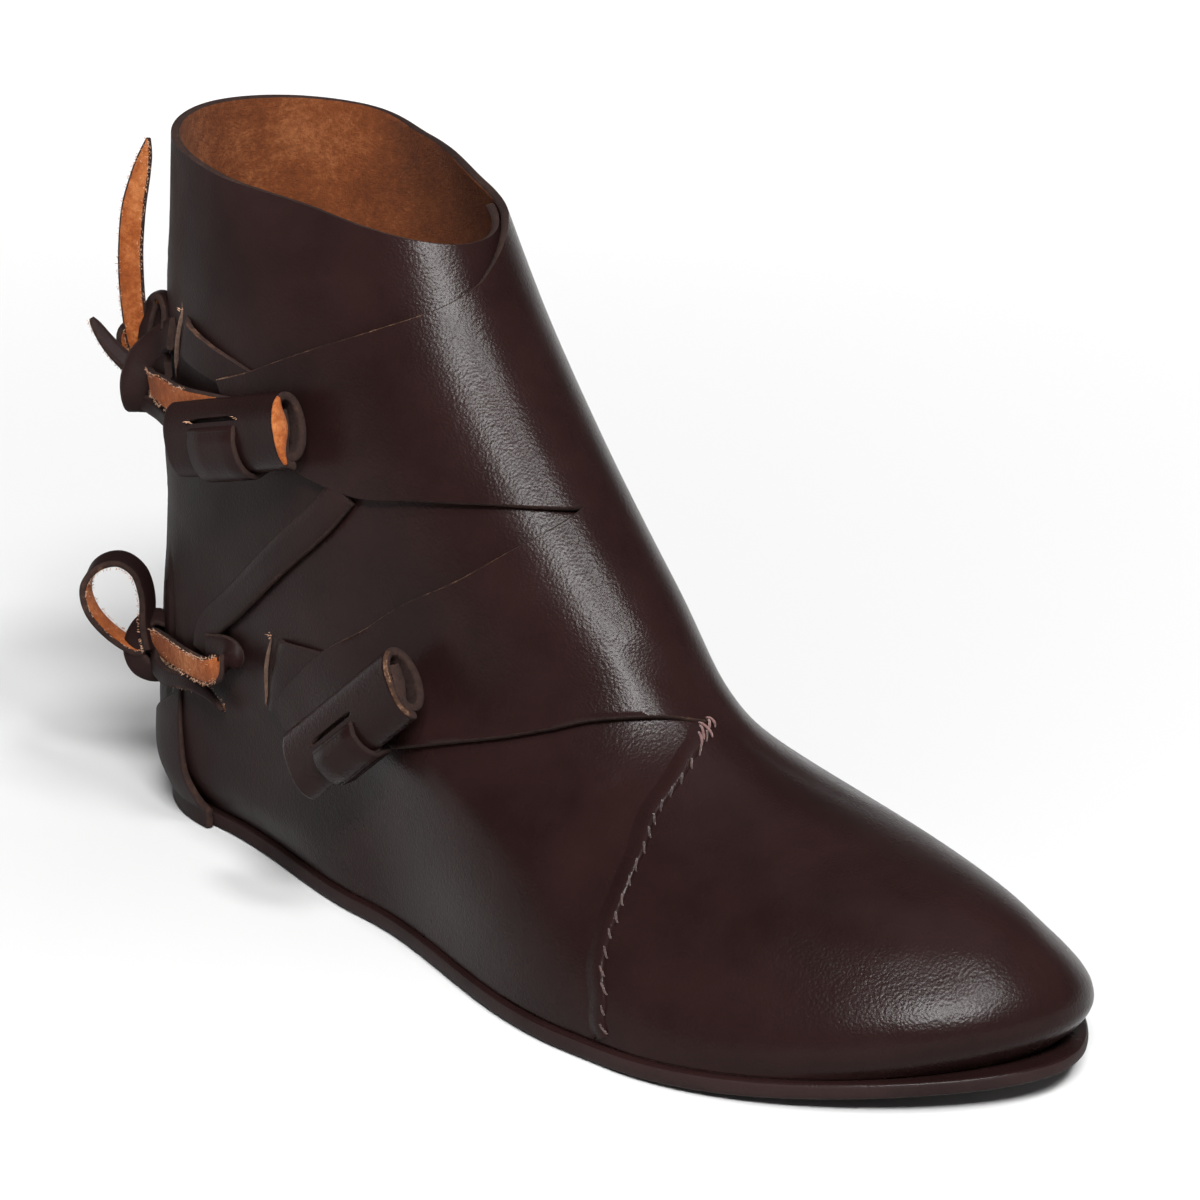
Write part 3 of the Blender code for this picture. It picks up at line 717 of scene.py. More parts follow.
def make_outsole():
    u = np.arange(SOLE_COLUMNS) / SOLE_COLUMNS
    feather = last_surface(u, 0.0)
    run = np.roll(feather, -1, axis=0) - np.roll(feather, 1, axis=0)
    out = unit(np.stack([run[:, 1], -run[:, 0], np.zeros(SOLE_COLUMNS)], axis=1))
    rings = []
    for spot in SOLE_PROFILE:
        tip = SOLE_TIP if spot.inset > -2.0 else 0.0
        margin = SOLE_MARGIN + tip * np.exp(-(((u - 0.5) / 0.06) ** 2))
        ring = feather + out * (margin + spot.inset)[:, None]
        thin = SOLE_THIN * smooth((ring[:, 0] - 0.8 * LENGTH) / (0.2 * LENGTH))
        ring[:, 2] = SOLE_THICK - (SOLE_THICK - spot.z) * (1.0 - thin) + toe_lift(ring[:, 0])
        rings.append(ring)
    faces = ring_faces(len(rings), SOLE_COLUMNS)
    slots = []
    # Faces past the sole's edge, round its top corner and over its margin, take the dark grain leather:
    # painted shade for the groove under the upper
    for k in range(len(rings) - 1):
        slots += [0 if k < SOLE_EDGE_RINGS else 3 if k < len(rings) - 2 else 1] * SOLE_COLUMNS
    top = (len(rings) - 1) * SOLE_COLUMNS
    for k in range(SOLE_COLUMNS // 2):
        across = [k, k + 1, (SOLE_COLUMNS - k - 1) % SOLE_COLUMNS, (SOLE_COLUMNS - k) % SOLE_COLUMNS]
        across = list(dict.fromkeys(across))
        faces.append([top + i for i in across])
        slots.append(1)
        faces.append(across[::-1])
        slots.append(2)
    materials = (SOLE_EDGE, FLESH, SOLE_EDGE, GRAIN)
    points = np.concatenate(rings)
    finish_piece("outsole_leather", points, faces, slots, materials, ["outsole"])


make_outsole()

RISER_TOP = [Spot(-0.045, 0.03), Spot(0.03, 0.12), Spot(0.08, 0.21), Spot(0.118, 0.3)]
RISER_COLUMNS, RISER_ROWS = 44, 26
RISER_FOOT = 0.5
RISER_BASE_V = 0.035
RISER_LEAST_V = 0.02


def make_heel_riser():
    table = through(RISER_TOP, spaced(RISER_COLUMNS))
    u, top = table[:, 0], table[:, 1]
    level = last_surface(u, 0.0)
    out = unit(last_normal(u, RISER_BASE_V) * (1.0, 1.0, 0.0))
    inner, outer = [], []
    for z in np.linspace(RISER_FOOT, SOLE_THICK + GAP, 6):
        foot = level + out * (SOLE_MARGIN + GAP)
        foot[:, 2] = z
        inner.append(foot)
        outer.append(foot + out * LEATHER)
    for share in spaced(RISER_ROWS)[1:]:
        v = np.maximum(RISER_BASE_V + (top - RISER_BASE_V) * share, RISER_LEAST_V)
        hug = 0.1 + SOLE_MARGIN * (1.0 - share) ** 2
        inner.append(on_last(u, v, hug))
        outer.append(on_last(u, v, hug + LEATHER - 1.2 * share))
    sheet = Sheet()
    sheet.fill(sheet.add(np.array(outer), np.array(inner)))
    sheet.build("heel_riser_leather", "heel_riser", slot="sole_leather")


make_heel_riser()

# Vamp seam: the quarter's edge lapped over the vamp, and its stitches
SEAM = named(Spot, [
    (0.492, 0.56), (0.476, 0.546), (0.452, 0.522), (0.41, 0.46), (0.373, 0.396), (0.35, 0.348),
    (0.338, 0.297), (0.33, 0.227), (0.325, 0.174), (0.324, 0.131), (0.325, 0.077), (0.33, 0.03),
])
SEAM_STEPS = 150
SeamSpot = namedtuple("SeamSpot", "across height")
SEAM_PROFILE = named(SeamSpot, [
    (-3.8, -0.15), (-2.9, 0.1), (-2.0, 0.42), (-1.0, 0.72),
    (0.0, 0.8), (0.7, 0.68), (1.05, 0.3), (1.1, -0.25),
])
STITCH_PITCH, STITCH_STEPS, STITCH_SWELL = 4.0, 9, 0.1


def make_seam():
    table = through(SEAM, spaced(SEAM_STEPS))
    middle = on_last(table[:, 0], table[:, 1], 0.0)
    out = last_normal(table[:, 0], table[:, 1])
    side = unit(np.cross(out, np.gradient(middle, axis=0)))
    grain = np.stack([middle + side * p.across + out * p.height for p in SEAM_PROFILE], axis=1)
    flesh = np.stack([middle + side * p.across - out * 0.4 for p in SEAM_PROFILE], axis=1)
    sheet = Sheet()
    sheet.fill(sheet.add(grain, flesh))
    sheet.build("vamp_seam_leather", "vamp_seam", edge=0.05)
    return middle, side, out


seam_middle, seam_side, seam_out = make_seam()


def tube_points(path, radius, around=8):
    """Rings of a tube along path."""
    run = unit(np.gradient(path, axis=0))
    first = unit(np.cross(run, (0.31, 0.52, 0.8)))
    second = np.cross(run, first)
    angle = np.arange(around) * 2 * np.pi / around
    radius = np.broadcast_to(np.asarray(radius, float), (len(path),))
    cosine, sine = np.cos(angle)[None, :, None], np.sin(angle)[None, :, None]
    spokes = first[:, None] * cosine + second[:, None] * sine
    return path[:, None] + spokes * radius[:, None, None]


def tube_faces(rings, around, start):
    faces = ring_faces(rings, around, start)
    faces.append([start + k for k in range(around)][::-1])
    faces.append([start + (rings - 1) * around + k for k in range(around)])
    return faces


class Tubes:
    """Many short tubes that become one piece."""

    def __init__(self):
        self.points = []
        self.faces = []
        self.count = 0

    def add(self, path, radius, around):
        self.points.append(tube_points(path, radius, around).reshape(-1, 3))
        self.faces += tube_faces(len(path), around, self.count)
        self.count += len(path) * around

    def add_stitch(self, spots, end_radius):
        """Thread through some spots, thickest in its middle."""
        share = spaced(STITCH_STEPS)
        swell = STITCH_SWELL * np.sin(np.pi * share)
        self.add(through(np.array(spots), share), end_radius + swell, 8)

    def build(self, name, made, record_slot):
        points = np.concatenate(self.points)
        return finish_piece(name, points, self.faces, [0] * len(self.faces), (made,))


def make_stitches():
    """Short slanted stitches over the seam's edge, and a clump of thread at its top."""
    chance = np.random.default_rng(11)
    steps = np.linalg.norm(np.diff(seam_middle, axis=0), axis=1)
    length = np.concatenate([[0.0], np.cumsum(steps)])

    def at(place, rows):
        return np.array([np.interp(place, length, column) for column in rows.T])

    stitches = Tubes()
    count = int(length[-1] / STITCH_PITCH)
    for k in range(count):
        place = (k + 0.5 + chance.uniform(-0.08, 0.08)) / count * length[-1]
        reach = chance.uniform(0.75, 1.15)
        slant = chance.uniform(0.8, 1.2)
        side = unit(at(place, seam_side)) * slant
        out = unit(at(place, seam_out))
        spots = [
            at(place + p.along * reach, seam_middle) + side * p.across + out * p.height
            for p in STITCH_PROFILE
        ]
        stitches.add_stitch(spots, 0.15)
    stitches.build("seam_stitches", THREAD, "grain_leather")
    clump = Tubes()
    for spot in THROAT_STITCHES:
        ends = [on_last(spot.u + d * spot.du, spot.v + d * spot.dv, h) for d, h in STITCH_ARC]
        clump.add_stitch(ends, 0.22)
    clump.build("throat_stitches", PINK_THREAD, "grain_leather")


StitchSpot = namedtuple("StitchSpot", "along across height")
STITCH_PROFILE = named(StitchSpot, [
    (-1.1, 0.25, 0.5), (-1.1, 0.5, 0.84), (0.0, 0.85, 0.66), (1.1, 1.2, 0.22), (1.1, 1.35, -0.2),
])
STITCH_ARC = [(-1.0, 0.3), (-0.6, 1.0), (0.0, 1.25), (0.6, 1.0), (1.0, 0.3)]
ThroatStitch = namedtuple("ThroatStitch", "u v du dv")
THROAT_STITCHES = named(ThroatStitch, [
    (0.485, 0.556, 0.0035, 0.008), (0.4915, 0.5585, -0.002, 0.0085),
    (0.4975, 0.562, 0.004, 0.005), (0.479, 0.55, 0.003, 0.0075),
    (0.5035, 0.564, -0.0015, 0.0055),
])
make_stitches()


# Thongs
RIBBON_LEATHER = 1.8
Station = namedtuple("Station", "x y z width face_x face_y face_z")
Turn = namedtuple("Turn", "right up near width face_right face_up face_near")
Knot = namedtuple("Knot", "centre near")
RIGHT = (0.6604, 0.7509, 0.0)
UP = (-0.2342, 0.2059, 0.9501)
ANKLE_KNOT = Knot((11.8, -27.6, 113.1), (0.8077, -0.5358, 0.2463))
INSTEP_KNOT = Knot((11.4, -27.3, 41.5), (0.7915, -0.5196, 0.322))


def knot_stations(knot, turns):
    """Stations of a thong given as it is seen: to the right, up, and toward the viewer."""
    axes = np.array([RIGHT, UP, knot.near])
    made = []
    for turn in map(Turn._make, turns):
        place = np.array(knot.centre) + np.array(turn[:3]) @ axes
        made.append(Station(*place, turn.width, *(np.array(turn[4:]) @ axes)))
    return made


RIBBON_SECTION = [
    (-1, -0.5), (-1, 0.5), (-0.9, 1), (-0.4, 1.06), (0.4, 1.06), (0.9, 1),
    (1, 0.5), (1, -0.5), (0.9, -1), (0.4, -1.06), (-0.4, -1.06), (-0.9, -1),
]
RIBBON_SLOTS = [2, 2, 0, 0, 0, 2, 2, 2, 1, 1, 1, 2]


def ribbon_frame(path, face):
    """Directions along a thong, out of its grain side and across it."""
    run = unit(np.gradient(path, axis=0))
    face = unit(face - run * np.sum(face * run, axis=1, keepdims=True))
    return run, face, np.cross(run, face)


def ribbon_mesh(path, face, width, thick):
    """Points, faces and slots of a flat thong: grain side to face, flesh side behind."""
    _, face, side = ribbon_frame(path, face)
    edges = []
    for w, t in RIBBON_SECTION:
        inset = 0.28 * thick if abs(w) == 0.9 else (1 - abs(w)) * width / 2
        across = np.sign(w) * np.maximum(width / 2 - inset, 0.05)
        edges.append(path + side * across[:, None] + face * t * thick / 2)
    rings = np.stack(edges, axis=1)
    faces = tube_faces(len(path), len(edges), 0)
    slots = RIBBON_SLOTS * (len(path) - 1) + [2, 2]
    return rings.reshape(-1, 3), faces, slots


def make_ribbon(name, stations, *nodes, slot="grain_leather", steps=7, thick=RIBBON_LEATHER):
    """Thong through stations, in the place of some solids; gives its piece and its path."""
    table = through(stations, spaced(steps * (len(stations) - 1) + 1))
    points, faces, slots = ribbon_mesh(table[:, :3], table[:, 4:7], table[:, 3], thick)
    return finish_piece(name, points, faces, slots, THONG_MATERIALS, nodes), table[:, :3]


FIBRES_PER_MM = 5.0
FIBRE_RADII = (0.075, 0.065, 0.03)


def make_fibres(name, ribbons, seed):
    """Loose fibres along the flesh side's edges of some thongs."""
    chance = np.random.default_rng(seed)
    nap = Tubes()
    for stations in ribbons:
        table = through(stations, spaced(12 * (len(stations) - 1) + 1))
        path = table[:, :3]
        run, face, side = ribbon_frame(path, table[:, 4:7])
        for _ in range(int(path_length(path) / MM * FIBRES_PER_MM)):
            k = chance.integers(1, len(path) - 1)
            edge = chance.choice((-1.0, 1.0))
            width = table[k, 3] / 2 - chance.exponential(0.35)
            root = path[k] + side[k] * edge * width - face[k] * RIBBON_LEATHER / 2
            root = root + run[k] * chance.uniform(-0.5, 0.5)
            lean = side[k] * edge * chance.uniform(0.1, 0.9) - face[k] * chance.uniform(0.1, 0.8)
            lean = unit(lean + run[k] * chance.uniform(-0.9, 0.9)) * chance.uniform(0.3, 0.85)
            bend = root + lean * 0.6 - face[k] * 0.1
            nap.add(np.array([root, bend, root + lean]), FIBRE_RADII, 4)
    return nap.build(name, FIBRE, "flesh_leather")


def path_length(path):
    return float(np.linalg.norm(np.diff(path, axis=0), axis=1).sum()) * MM


ANKLE_CORD = knot_stations(ANKLE_KNOT, [
    (-12.4, 13.3, 2.0, 1.0, 0.3, 0.2, 0.9), (-11.2, 11.4, 1.8, 2.6, 0.3, 0.2, 0.9),
    (-8.6, 7.6, 1.4, 3.8, 0.25, 0.2, 0.95), (-5.4, 4.0, 1.0, 4.4, 0.2, 0.15, 0.95),
    (-2.2, 1.4, 0.8, 4.8, 0.1, 0.1, 1.0), (1.0, 0.4, 0.2, 5.0, 0.4, 0.0, 0.9),
    (2.4, 1.2, -1.4, 5.2, 1.0, 0.0, 0.0), (1.2, 3.4, -2.2, 5.6, 0.2, 0.0, -1.0),
    (-0.6, 7.6, 0.2, 6.0, 0.2, 0.0, -1.0), (-1.8, 15.0, 3.6, 6.2, 0.25, 0.0, -1.0),
    (-2.5, 23.0, 7.6, 6.3, 0.25, 0.0, -1.0), (-2.6, 31.0, 11.4, 6.2, 0.25, 0.0, -1.0),
    (-1.9, 40.0, 15.4, 6.0, 0.25, 0.0, -1.0), (-0.2, 48.0, 19.0, 4.8, 0.25, 0.0, -1.0),
    (1.0, 53.0, 21.2, 3.2, 0.25, 0.0, -1.0), (1.7, 56.6, 22.6, 1.0, 0.25, 0.0, -1.0),
])
ANKLE_WRAP = knot_stations(ANKLE_KNOT, [
    (7.4, 9.2, 20.0, 8.0, -0.85, 0.15, 0.5), (6.2, 8.6, 13.0, 8.6, -0.7, 0.2, 0.7),
    (3.9, 6.4, 8.2, 8.8, -0.4, 0.25, 0.85), (0.8, 2.8, 5.8, 8.8, -0.2, 0.15, 0.97),
    (-1.0, -1.8, 5.2, 8.4, -0.2, 0.0, 0.97), (-1.2, -5.8, 3.8, 7.8, -0.05, -0.35, 0.93),
    (-0.3, -8.9, 0.8, 7.4, 0.0, -0.95, 0.3), (0.8, -8.6, -2.8, 7.0, 0.0, -0.6, -0.8),
    (0.4, -3.5, -4.8, 6.0, 0.0, 0.0, -1.0), (-2.6, 4.5, -3.6, 5.0, -0.4, 0.2, -0.9),
    (-4.6, 9.4, -1.8, 4.4, -0.7, 0.5, -0.3), (-3.4, 11.8, -3.8, 4.0, 0.0, 0.9, -0.4),
])
ANKLE_ARCH = knot_stations(ANKLE_KNOT, [
    (0.8, 8.0, 3.0, 4.2, -0.7, 0.2, 0.7), (1.8, 13.8, 4.0, 4.4, -0.6, 0.4, 0.7),
    (3.6, 18.2, 5.4, 4.6, -0.1, 0.8, 0.6), (5.7, 18.4, 7.6, 4.6, 0.4, 0.7, 0.6),
    (6.9, 14.6, 9.6, 4.4, 0.6, 0.3, 0.7), (6.6, 9.8, 11.0, 4.2, 0.5, 0.0, 0.8),
])
ANKLE_CORE = knot_stations(ANKLE_KNOT, [
    (3.2, 5.5, 1.4, 6.0, 0.0, 0.1, 1.0), (4.1, 11.5, 2.8, 5.6, 0.0, 0.1, 1.0),
    (4.8, 17.2, 4.8, 4.4, 0.0, 0.3, 1.0),
])
INSTEP_CORE = knot_stations(INSTEP_KNOT, [
    (-2.0, -6.0, -1.2, 7.0, 0.0, 0.0, 1.0), (1.0, 0.0, -1.2, 8.0, 0.0, 0.0, 1.0),
    (4.0, 6.4, -0.6, 7.0, 0.0, 0.0, 1.0),
])
INSTEP_CORD = named(Station, [
    (53.4, -35.6, 36.4, 0.9, 0.1, -1.0, 0.2),
    (49.0, -36.4, 39.5, 2.4, 0.1, -1.0, 0.2),
    (44.1, -36.9, 40.8, 3.4, 0.0, -1.0, 0.3),
    (38.3, -36.7, 40.6, 4.0, -0.1, -1.0, 0.3),
    (28.9, -35.0, 38.6, 4.4, -0.2, -1.0, 0.2),
    (20.0, -32.0, 38.4, 4.8, -0.2, -0.9, 0.1),
]) + knot_stations(INSTEP_KNOT, [
    (0.4, -1.6, 3.0, 5.4, -0.1, -0.6, 0.6), (-3.3, -1.6, 1.8, 6.0, -0.25, -0.8, -0.55),
    (-9.8, 2.0, 1.8, 6.2, -0.5, -0.75, -0.5), (-15.3, 7.8, 2.0, 6.2, -0.8, -0.45, -0.4),
    (-17.1, 14.3, 2.2, 6.2, -0.97, 0.05, -0.12), (-14.1, 19.8, 2.4, 6.2, -0.6, 0.65, 0.35),
    (-8.5, 21.4, 2.6, 6.2, 0.05, 0.8, 0.55), (-3.6, 18.2, 2.8, 6.2, 0.65, 0.5, 0.55),
    (-1.5, 11.7, 3.2, 6.0, 0.85, 0.05, 0.5), (-1.5, 4.4, 4.6, 5.6, 0.88, 0.0, 0.4),
    (-0.5, -1.6, 4.4, 5.0, 0.88, -0.2, 0.4),
])
INSTEP_WRAP = knot_stations(INSTEP_KNOT, [
    (4.5, 5.4, 4.2, 4.6, 0.2, 0.5, 0.8), (0.6, 6.6, 2.8, 5.2, -0.2, 0.6, 0.75),
    (-3.2, 4.0, 2.8, 5.6, -0.5, 0.3, 0.8), (-4.8, -1.0, 2.8, 5.8, -0.4, 0.0, 0.9),
    (-3.0, -5.8, 2.6, 5.8, -0.2, -0.4, 0.9), (1.6, -7.8, 1.8, 5.4, 0.0, -0.7, 0.7),
    (4.8, -6.4, -0.4, 5.0, 0.4, -0.8, 0.1), (4.8, -3.4, -2.6, 4.6, 0.4, 0.0, -0.9),
])


def make_thong(name, stations, nodes, seed):
    """Thong that lies free, as a cord with its fibres."""
    cord, path = make_ribbon(name, stations, *nodes)
    nap = make_fibres(name + "_fibres", [stations], seed)


def make_thongs():
    arch, _ = make_ribbon("ankle_knot_arch", ANKLE_ARCH)
    core, _ = make_ribbon("ankle_knot_core", ANKLE_CORE)
    wrap, _ = make_ribbon("ankle_knot_wrap", ANKLE_WRAP, "ankle_knot")
    make_thong("ankle_thong", ANKLE_CORD, ["ankle_tail", "ankle_stub"], 21)
    core, _ = make_ribbon("instep_knot_core", INSTEP_CORE)
    wrap, _ = make_ribbon("instep_knot_wrap", INSTEP_WRAP, "instep_knot")
    make_thong("instep_thong", INSTEP_CORD, ["instep_bow", "instep_end"], 22)


make_thongs()

# Straps that show between a slit and its flap, and the strap that comes down to the lower knot
ANKLE_LEG = named(Station, [
    (15.2, -27.6, 112.2, 6.2, -0.5, 0.85, 0.0), (19.5, -29.6, 112.6, 6.4, -0.45, 0.9, 0.0),
    (24.5, -32.4, 113.0, 6.8, -0.4, 0.92, 0.0), (31.0, -34.9, 113.6, 7.4, -0.3, 0.95, 0.0),
    (39.2, -36.5, 113.3, 7.6, -0.2, 0.98, 0.0), (47.8, -38.0, 114.3, 6.6, -0.1, 1.0, 0.0),
    (54.3, -38.4, 115.2, 5.8, 0.0, 1.0, 0.0), (65.2, -37.9, 116.2, 5.2, 0.0, 1.0, 0.0),
])
ANKLE_STRAND = named(Station, [
    (12.0, -29.6, 107.0, 4.4, -0.5, -0.85, 0.0), (22.7, -30.6, 105.8, 4.6, -0.3, -0.95, 0.0),
    (32.3, -33.6, 105.6, 4.6, -0.2, -1.0, 0.0), (46.0, -36.8, 107.0, 4.4, 0.0, -1.0, 0.0),
])
ANKLE_UPPER_STRAND = named(Station, [
    (11.5, -28.6, 112.5, 6.0, -0.6, -0.8, 0.0), (19.0, -28.4, 114.6, 6.4, -0.5, -0.85, 0.1),
    (27.5, -30.2, 118.0, 6.4, -0.3, -0.95, 0.1),
])
Laid = namedtuple("Laid", "u v lift width")
HEEL_STRAP = named(Laid, [
    (0.296, 0.73, 1.4, 8.4), (0.269, 0.69, 1.3, 8.4), (0.23, 0.625, 1.3, 8.2),
    (0.192, 0.543, 1.3, 8.0), (0.16, 0.464, 1.4, 7.8), (0.15, 0.415, 1.8, 7.0),
])
HEEL_LEG = named(Station, [
    (48.5, -35.8, 52.0, 6.6, 0.0, -1.0, 0.1), (57.0, -36.6, 53.4, 6.8, 0.3, -0.9, 0.3),
    (61.0, -38.0, 52.2, 6.6, 0.95, -0.1, 0.3), (59.4, -39.8, 50.0, 6.6, 0.5, 0.8, -0.2),
    (54.0, -40.0, 48.1, 6.6, 0.0, 1.0, 0.0), (46.5, -38.5, 47.0, 6.6, -0.05, 1.0, 0.0),
    (36.5, -35.5, 45.7, 6.8, -0.2, 0.95, 0.0), (26.3, -32.2, 44.6, 7.0, -0.3, 0.9, 0.0),
    (17.6, -29.6, 43.8, 7.0, -0.5, 0.8, 0.0), (12.5, -28.6, 43.0, 6.0, -0.6, 0.8, 0.0),
])
Strap = namedtuple("Strap", "slit_top slit_low far_top far_low")
ANKLE_STRAP = Strap(
    Spot(0.1662, 0.84), Spot(0.152, 0.8), Spot(0.26, 0.81), Spot(0.235, 0.786)
)
INSTEP_STRAP = Strap(
    Spot(0.2105, 0.506), Spot(0.1815, 0.36), Spot(0.265, 0.536), Spot(0.208, 0.374)
)
STRAP_LEATHER = 1.5
STRAP_ROWS, STRAP_COLUMNS = 18, 40
# Along a strap: its part behind the slit, then how it rises, settles and dives, over which shares
STRAP_BEHIND, STRAP_BEHIND_U = 0.6, 0.05
STRAP_SUNK, STRAP_RISE, STRAP_RISE_OVER = 0.6, 2.6, 0.22
STRAP_SETTLE, SETTLE_FROM, SETTLE_OVER = 1.0, 0.3, 0.6
STRAP_DIVE, STRAP_DIVE_OVER = 14.0, 0.25


def laid_stations(rows):
    return [Station(*on_last(r.u, r.v, r.lift), r.width, *last_normal(r.u, r.v)) for r in rows]


def make_strap(name, node, strap):
    """Thong that comes out of a slit and goes under its flap."""
    s = spaced(STRAP_ROWS)
    s, t = np.meshgrid(s, np.linspace(-STRAP_BEHIND, 1.0, STRAP_COLUMNS), indexing="ij")
    near = np.array(strap.slit_low) * (1 - s[..., None]) + np.array(strap.slit_top) * s[..., None]
    far = np.array(strap.far_low) * (1 - s[..., None]) + np.array(strap.far_top) * s[..., None]
    ahead = np.maximum(t, 0.0)[..., None]
    spots = near * (1 - ahead) + far * ahead
    u = spots[..., 0] + np.minimum(t, 0.0) * STRAP_BEHIND_U
    v = spots[..., 1]
    lift = -STRAP_SUNK + STRAP_RISE * smooth(t / STRAP_RISE_OVER)
    lift = lift - STRAP_SETTLE * smooth((t - SETTLE_FROM) / SETTLE_OVER)
    lift = lift + np.clip(t, -STRAP_DIVE_OVER, 0.0) * STRAP_DIVE
    sheet = Sheet()
    sheet.fill(sheet.add(on_last(u, v, lift), on_last(u, v, lift - STRAP_LEATHER)))
    sheet.build(name, node, edge=0.2)


def make_straps():
    make_ribbon("ankle_leg_thong", ANKLE_LEG, "ankle_leg", slot="flesh_leather")
    make_ribbon("ankle_strand_thong", ANKLE_STRAND)
    make_ribbon("ankle_upper_strand_thong", ANKLE_UPPER_STRAND)
    make_ribbon("heel_strap_thong", laid_stations(HEEL_STRAP), "heel_strap")
    make_fibres("leg_fibres", [ANKLE_LEG[1:-2], HEEL_LEG[3:]], 23)
    make_ribbon("heel_leg_thong", HEEL_LEG, "heel_leg", slot="flesh_leather")
    make_strap("ankle_strap_thong", "ankle_strap", ANKLE_STRAP)
    make_strap("instep_strap_thong", "instep_strap", INSTEP_STRAP)


make_straps()

# Rolled toggles: a half turn on the near side inside one full turn
Toggle = namedtuple("Toggle", "u v lift rise_deg length slit_deg slit_at slit_half")
TOGGLES = {
    "ankle": Toggle(0.242, 0.763, 8.4, 14.0, 40.0, 62.0, -1.8, 9.0),
    "instep": Toggle(0.272, 0.459, 9.0, 41.5, 42.0, 96.0, -2.5, 8.4),
}
# Reach of the rolled strip, across the toggle and out of the shoe, and how it grows with the turns
Growth = namedtuple("Growth", "more start over")
ROLL_ACROSS, ACROSS_GROWTH = 4.1, (Growth(2.1, 0.0, 0.5), Growth(1.9, 1.15, 0.35))
ROLL_OUT, OUT_GROWTH = -0.2, (Growth(3.35, 0.25, 0.27), Growth(1.2, 1.25, 0.25))
ROLL_TURNS = 1.5
ROLL_LEATHER = 1.95
ROLL_STEPS = 110
ROLL_COLUMNS = 60
RIM_FROM, RIM_TO = 1.02, 1.46
CRESCENT_FROM, CRESCENT_TO = 0.055, 0.435
CRESCENT_STEPS, CRESCENT_ROWS, CRESCENT_PROUD = 48, 8, 0.35
TAB_LEATHER = 1.4
TAB_STEPS = 30


def grown(first, growths, turn):
    return sum((g.more * smooth((turn - g.start) / g.over) for g in growths), first)


def roll_section(turn):
    """Flesh side of the rolled strip and its outward direction, as across and out."""
    angle = 2.0 * np.pi * turn
    across = grown(ROLL_ACROSS, ACROSS_GROWTH, turn)
    out = grown(ROLL_OUT, OUT_GROWTH, turn)
    curve = np.stack([np.cos(angle) * across, np.sin(angle) * out], axis=-1)
    run = unit(np.gradient(curve, axis=0))
    return curve, np.stack([run[:, 1], -run[:, 0]], axis=-1)


def add_crescent(name, centre, axis, plane):
    """Rough flesh that shows at the end of a roll, between its inner and outer turns."""
    share = spaced(CRESCENT_STEPS)
    turn = CRESCENT_FROM + (CRESCENT_TO - CRESCENT_FROM) * share
    outer, outward = roll_section(turn + 1.0)
    outer = outer + outward * (ROLL_LEATHER - 0.15)
    inner, _ = roll_section(turn)
    swell = (np.sin(np.pi * share) ** 0.55)[:, None]
    inner = outer + (inner - outer) * (0.12 + 0.7 * swell)
    across = spaced(CRESCENT_ROWS)[None, :, None]
    flat = outer[:, None] * (1.0 - across) + inner[:, None] * across
    domed = CRESCENT_PROUD * (1.3 + np.sin(np.pi * across))
    front = centre + flat @ plane + axis * domed
    sheet = Sheet()
    sheet.fill(sheet.add(front, centre + flat @ plane - axis * 0.6), flip=True)
    materials = [THONG_FLESH_WITH_PAINTED_LIGHT] * 4
    sheet.build(name + "_toggle_flesh", slot="flesh_leather", edge=0.15, materials=materials)


def make_toggle(name, place, bright):
    """Rolled strip with a slit and the tab through it; gives the slit's ends and their outward side."""
    centre = on_last(place.u, place.v, place.lift)
    out = last_normal(place.u, place.v)
    level = unit(np.array([1.0, 0.0, 0.0]) - out * out[0])
    rise = math.radians(place.rise_deg)
    up = unit(np.cross(level, out))
    up = up if up[2] > 0 else -up
    axis = level * math.cos(rise) + up * math.sin(rise)
    plane = np.array([up * math.cos(rise) - level * math.sin(rise), out])

    turn = np.linspace(0.0, ROLL_TURNS, ROLL_STEPS)
    along = np.linspace(-0.5, 0.5, ROLL_COLUMNS) * place.length
    curve, outward = roll_section(turn)
    flesh = centre + (curve @ plane)[:, None] + axis * along[None, :, None]
    thick = ROLL_LEATHER + 1.2 * (1.0 - smooth((turn - 0.3) / 0.2))
    grain = flesh + (outward @ plane)[:, None] * thick[:, None, None]
    sheet = Sheet()
    index = sheet.add(grain, flesh)
    slit_turn = 1.0 + place.slit_deg / 360.0
    row = int(np.abs(turn - slit_turn).argmin())
    opened = index.copy()
    for k in np.flatnonzero(np.abs(along - place.slit_at) < place.slit_half):
        swell = (1.0 - ((along[k] - place.slit_at) / place.slit_half) ** 2) ** 0.5
        step = unit(grain[row + 1, k] - grain[row - 1, k])
        sunk = step * 2.6 * swell - (outward[row] @ plane) * 1.3 * swell
        opened[row, k] = sheet.split(index[row, k], -step * 1.2 * swell, sunk)
    sheet.fill(index[: row + 1], flip=True)
    sheet.fill(opened[row:], flip=True)
    rim = (turn > RIM_FROM) & (turn < RIM_TO)
    shown = set() if bright else set(index[rim][:, -1].tolist())
    materials = (GRAIN, CUT, CUT, PALE_CUT_AND_HIGHLIGHT)
    sheet.build(name + "_roll", name + "_toggle", pale_and_highlit_rim=shown, materials=materials)
    if bright:
        add_crescent(name, centre + axis * place.length / 2, axis, plane)
    make_tab(name, place, centre + axis * place.slit_at, plane, slit_turn)
    reach = [int(np.abs(along - place.slit_at - s * place.slit_half).argmin()) for s in (-1.0, 1.0)]
    return [(grain[row, k], outward[row] @ plane) for k in reach]


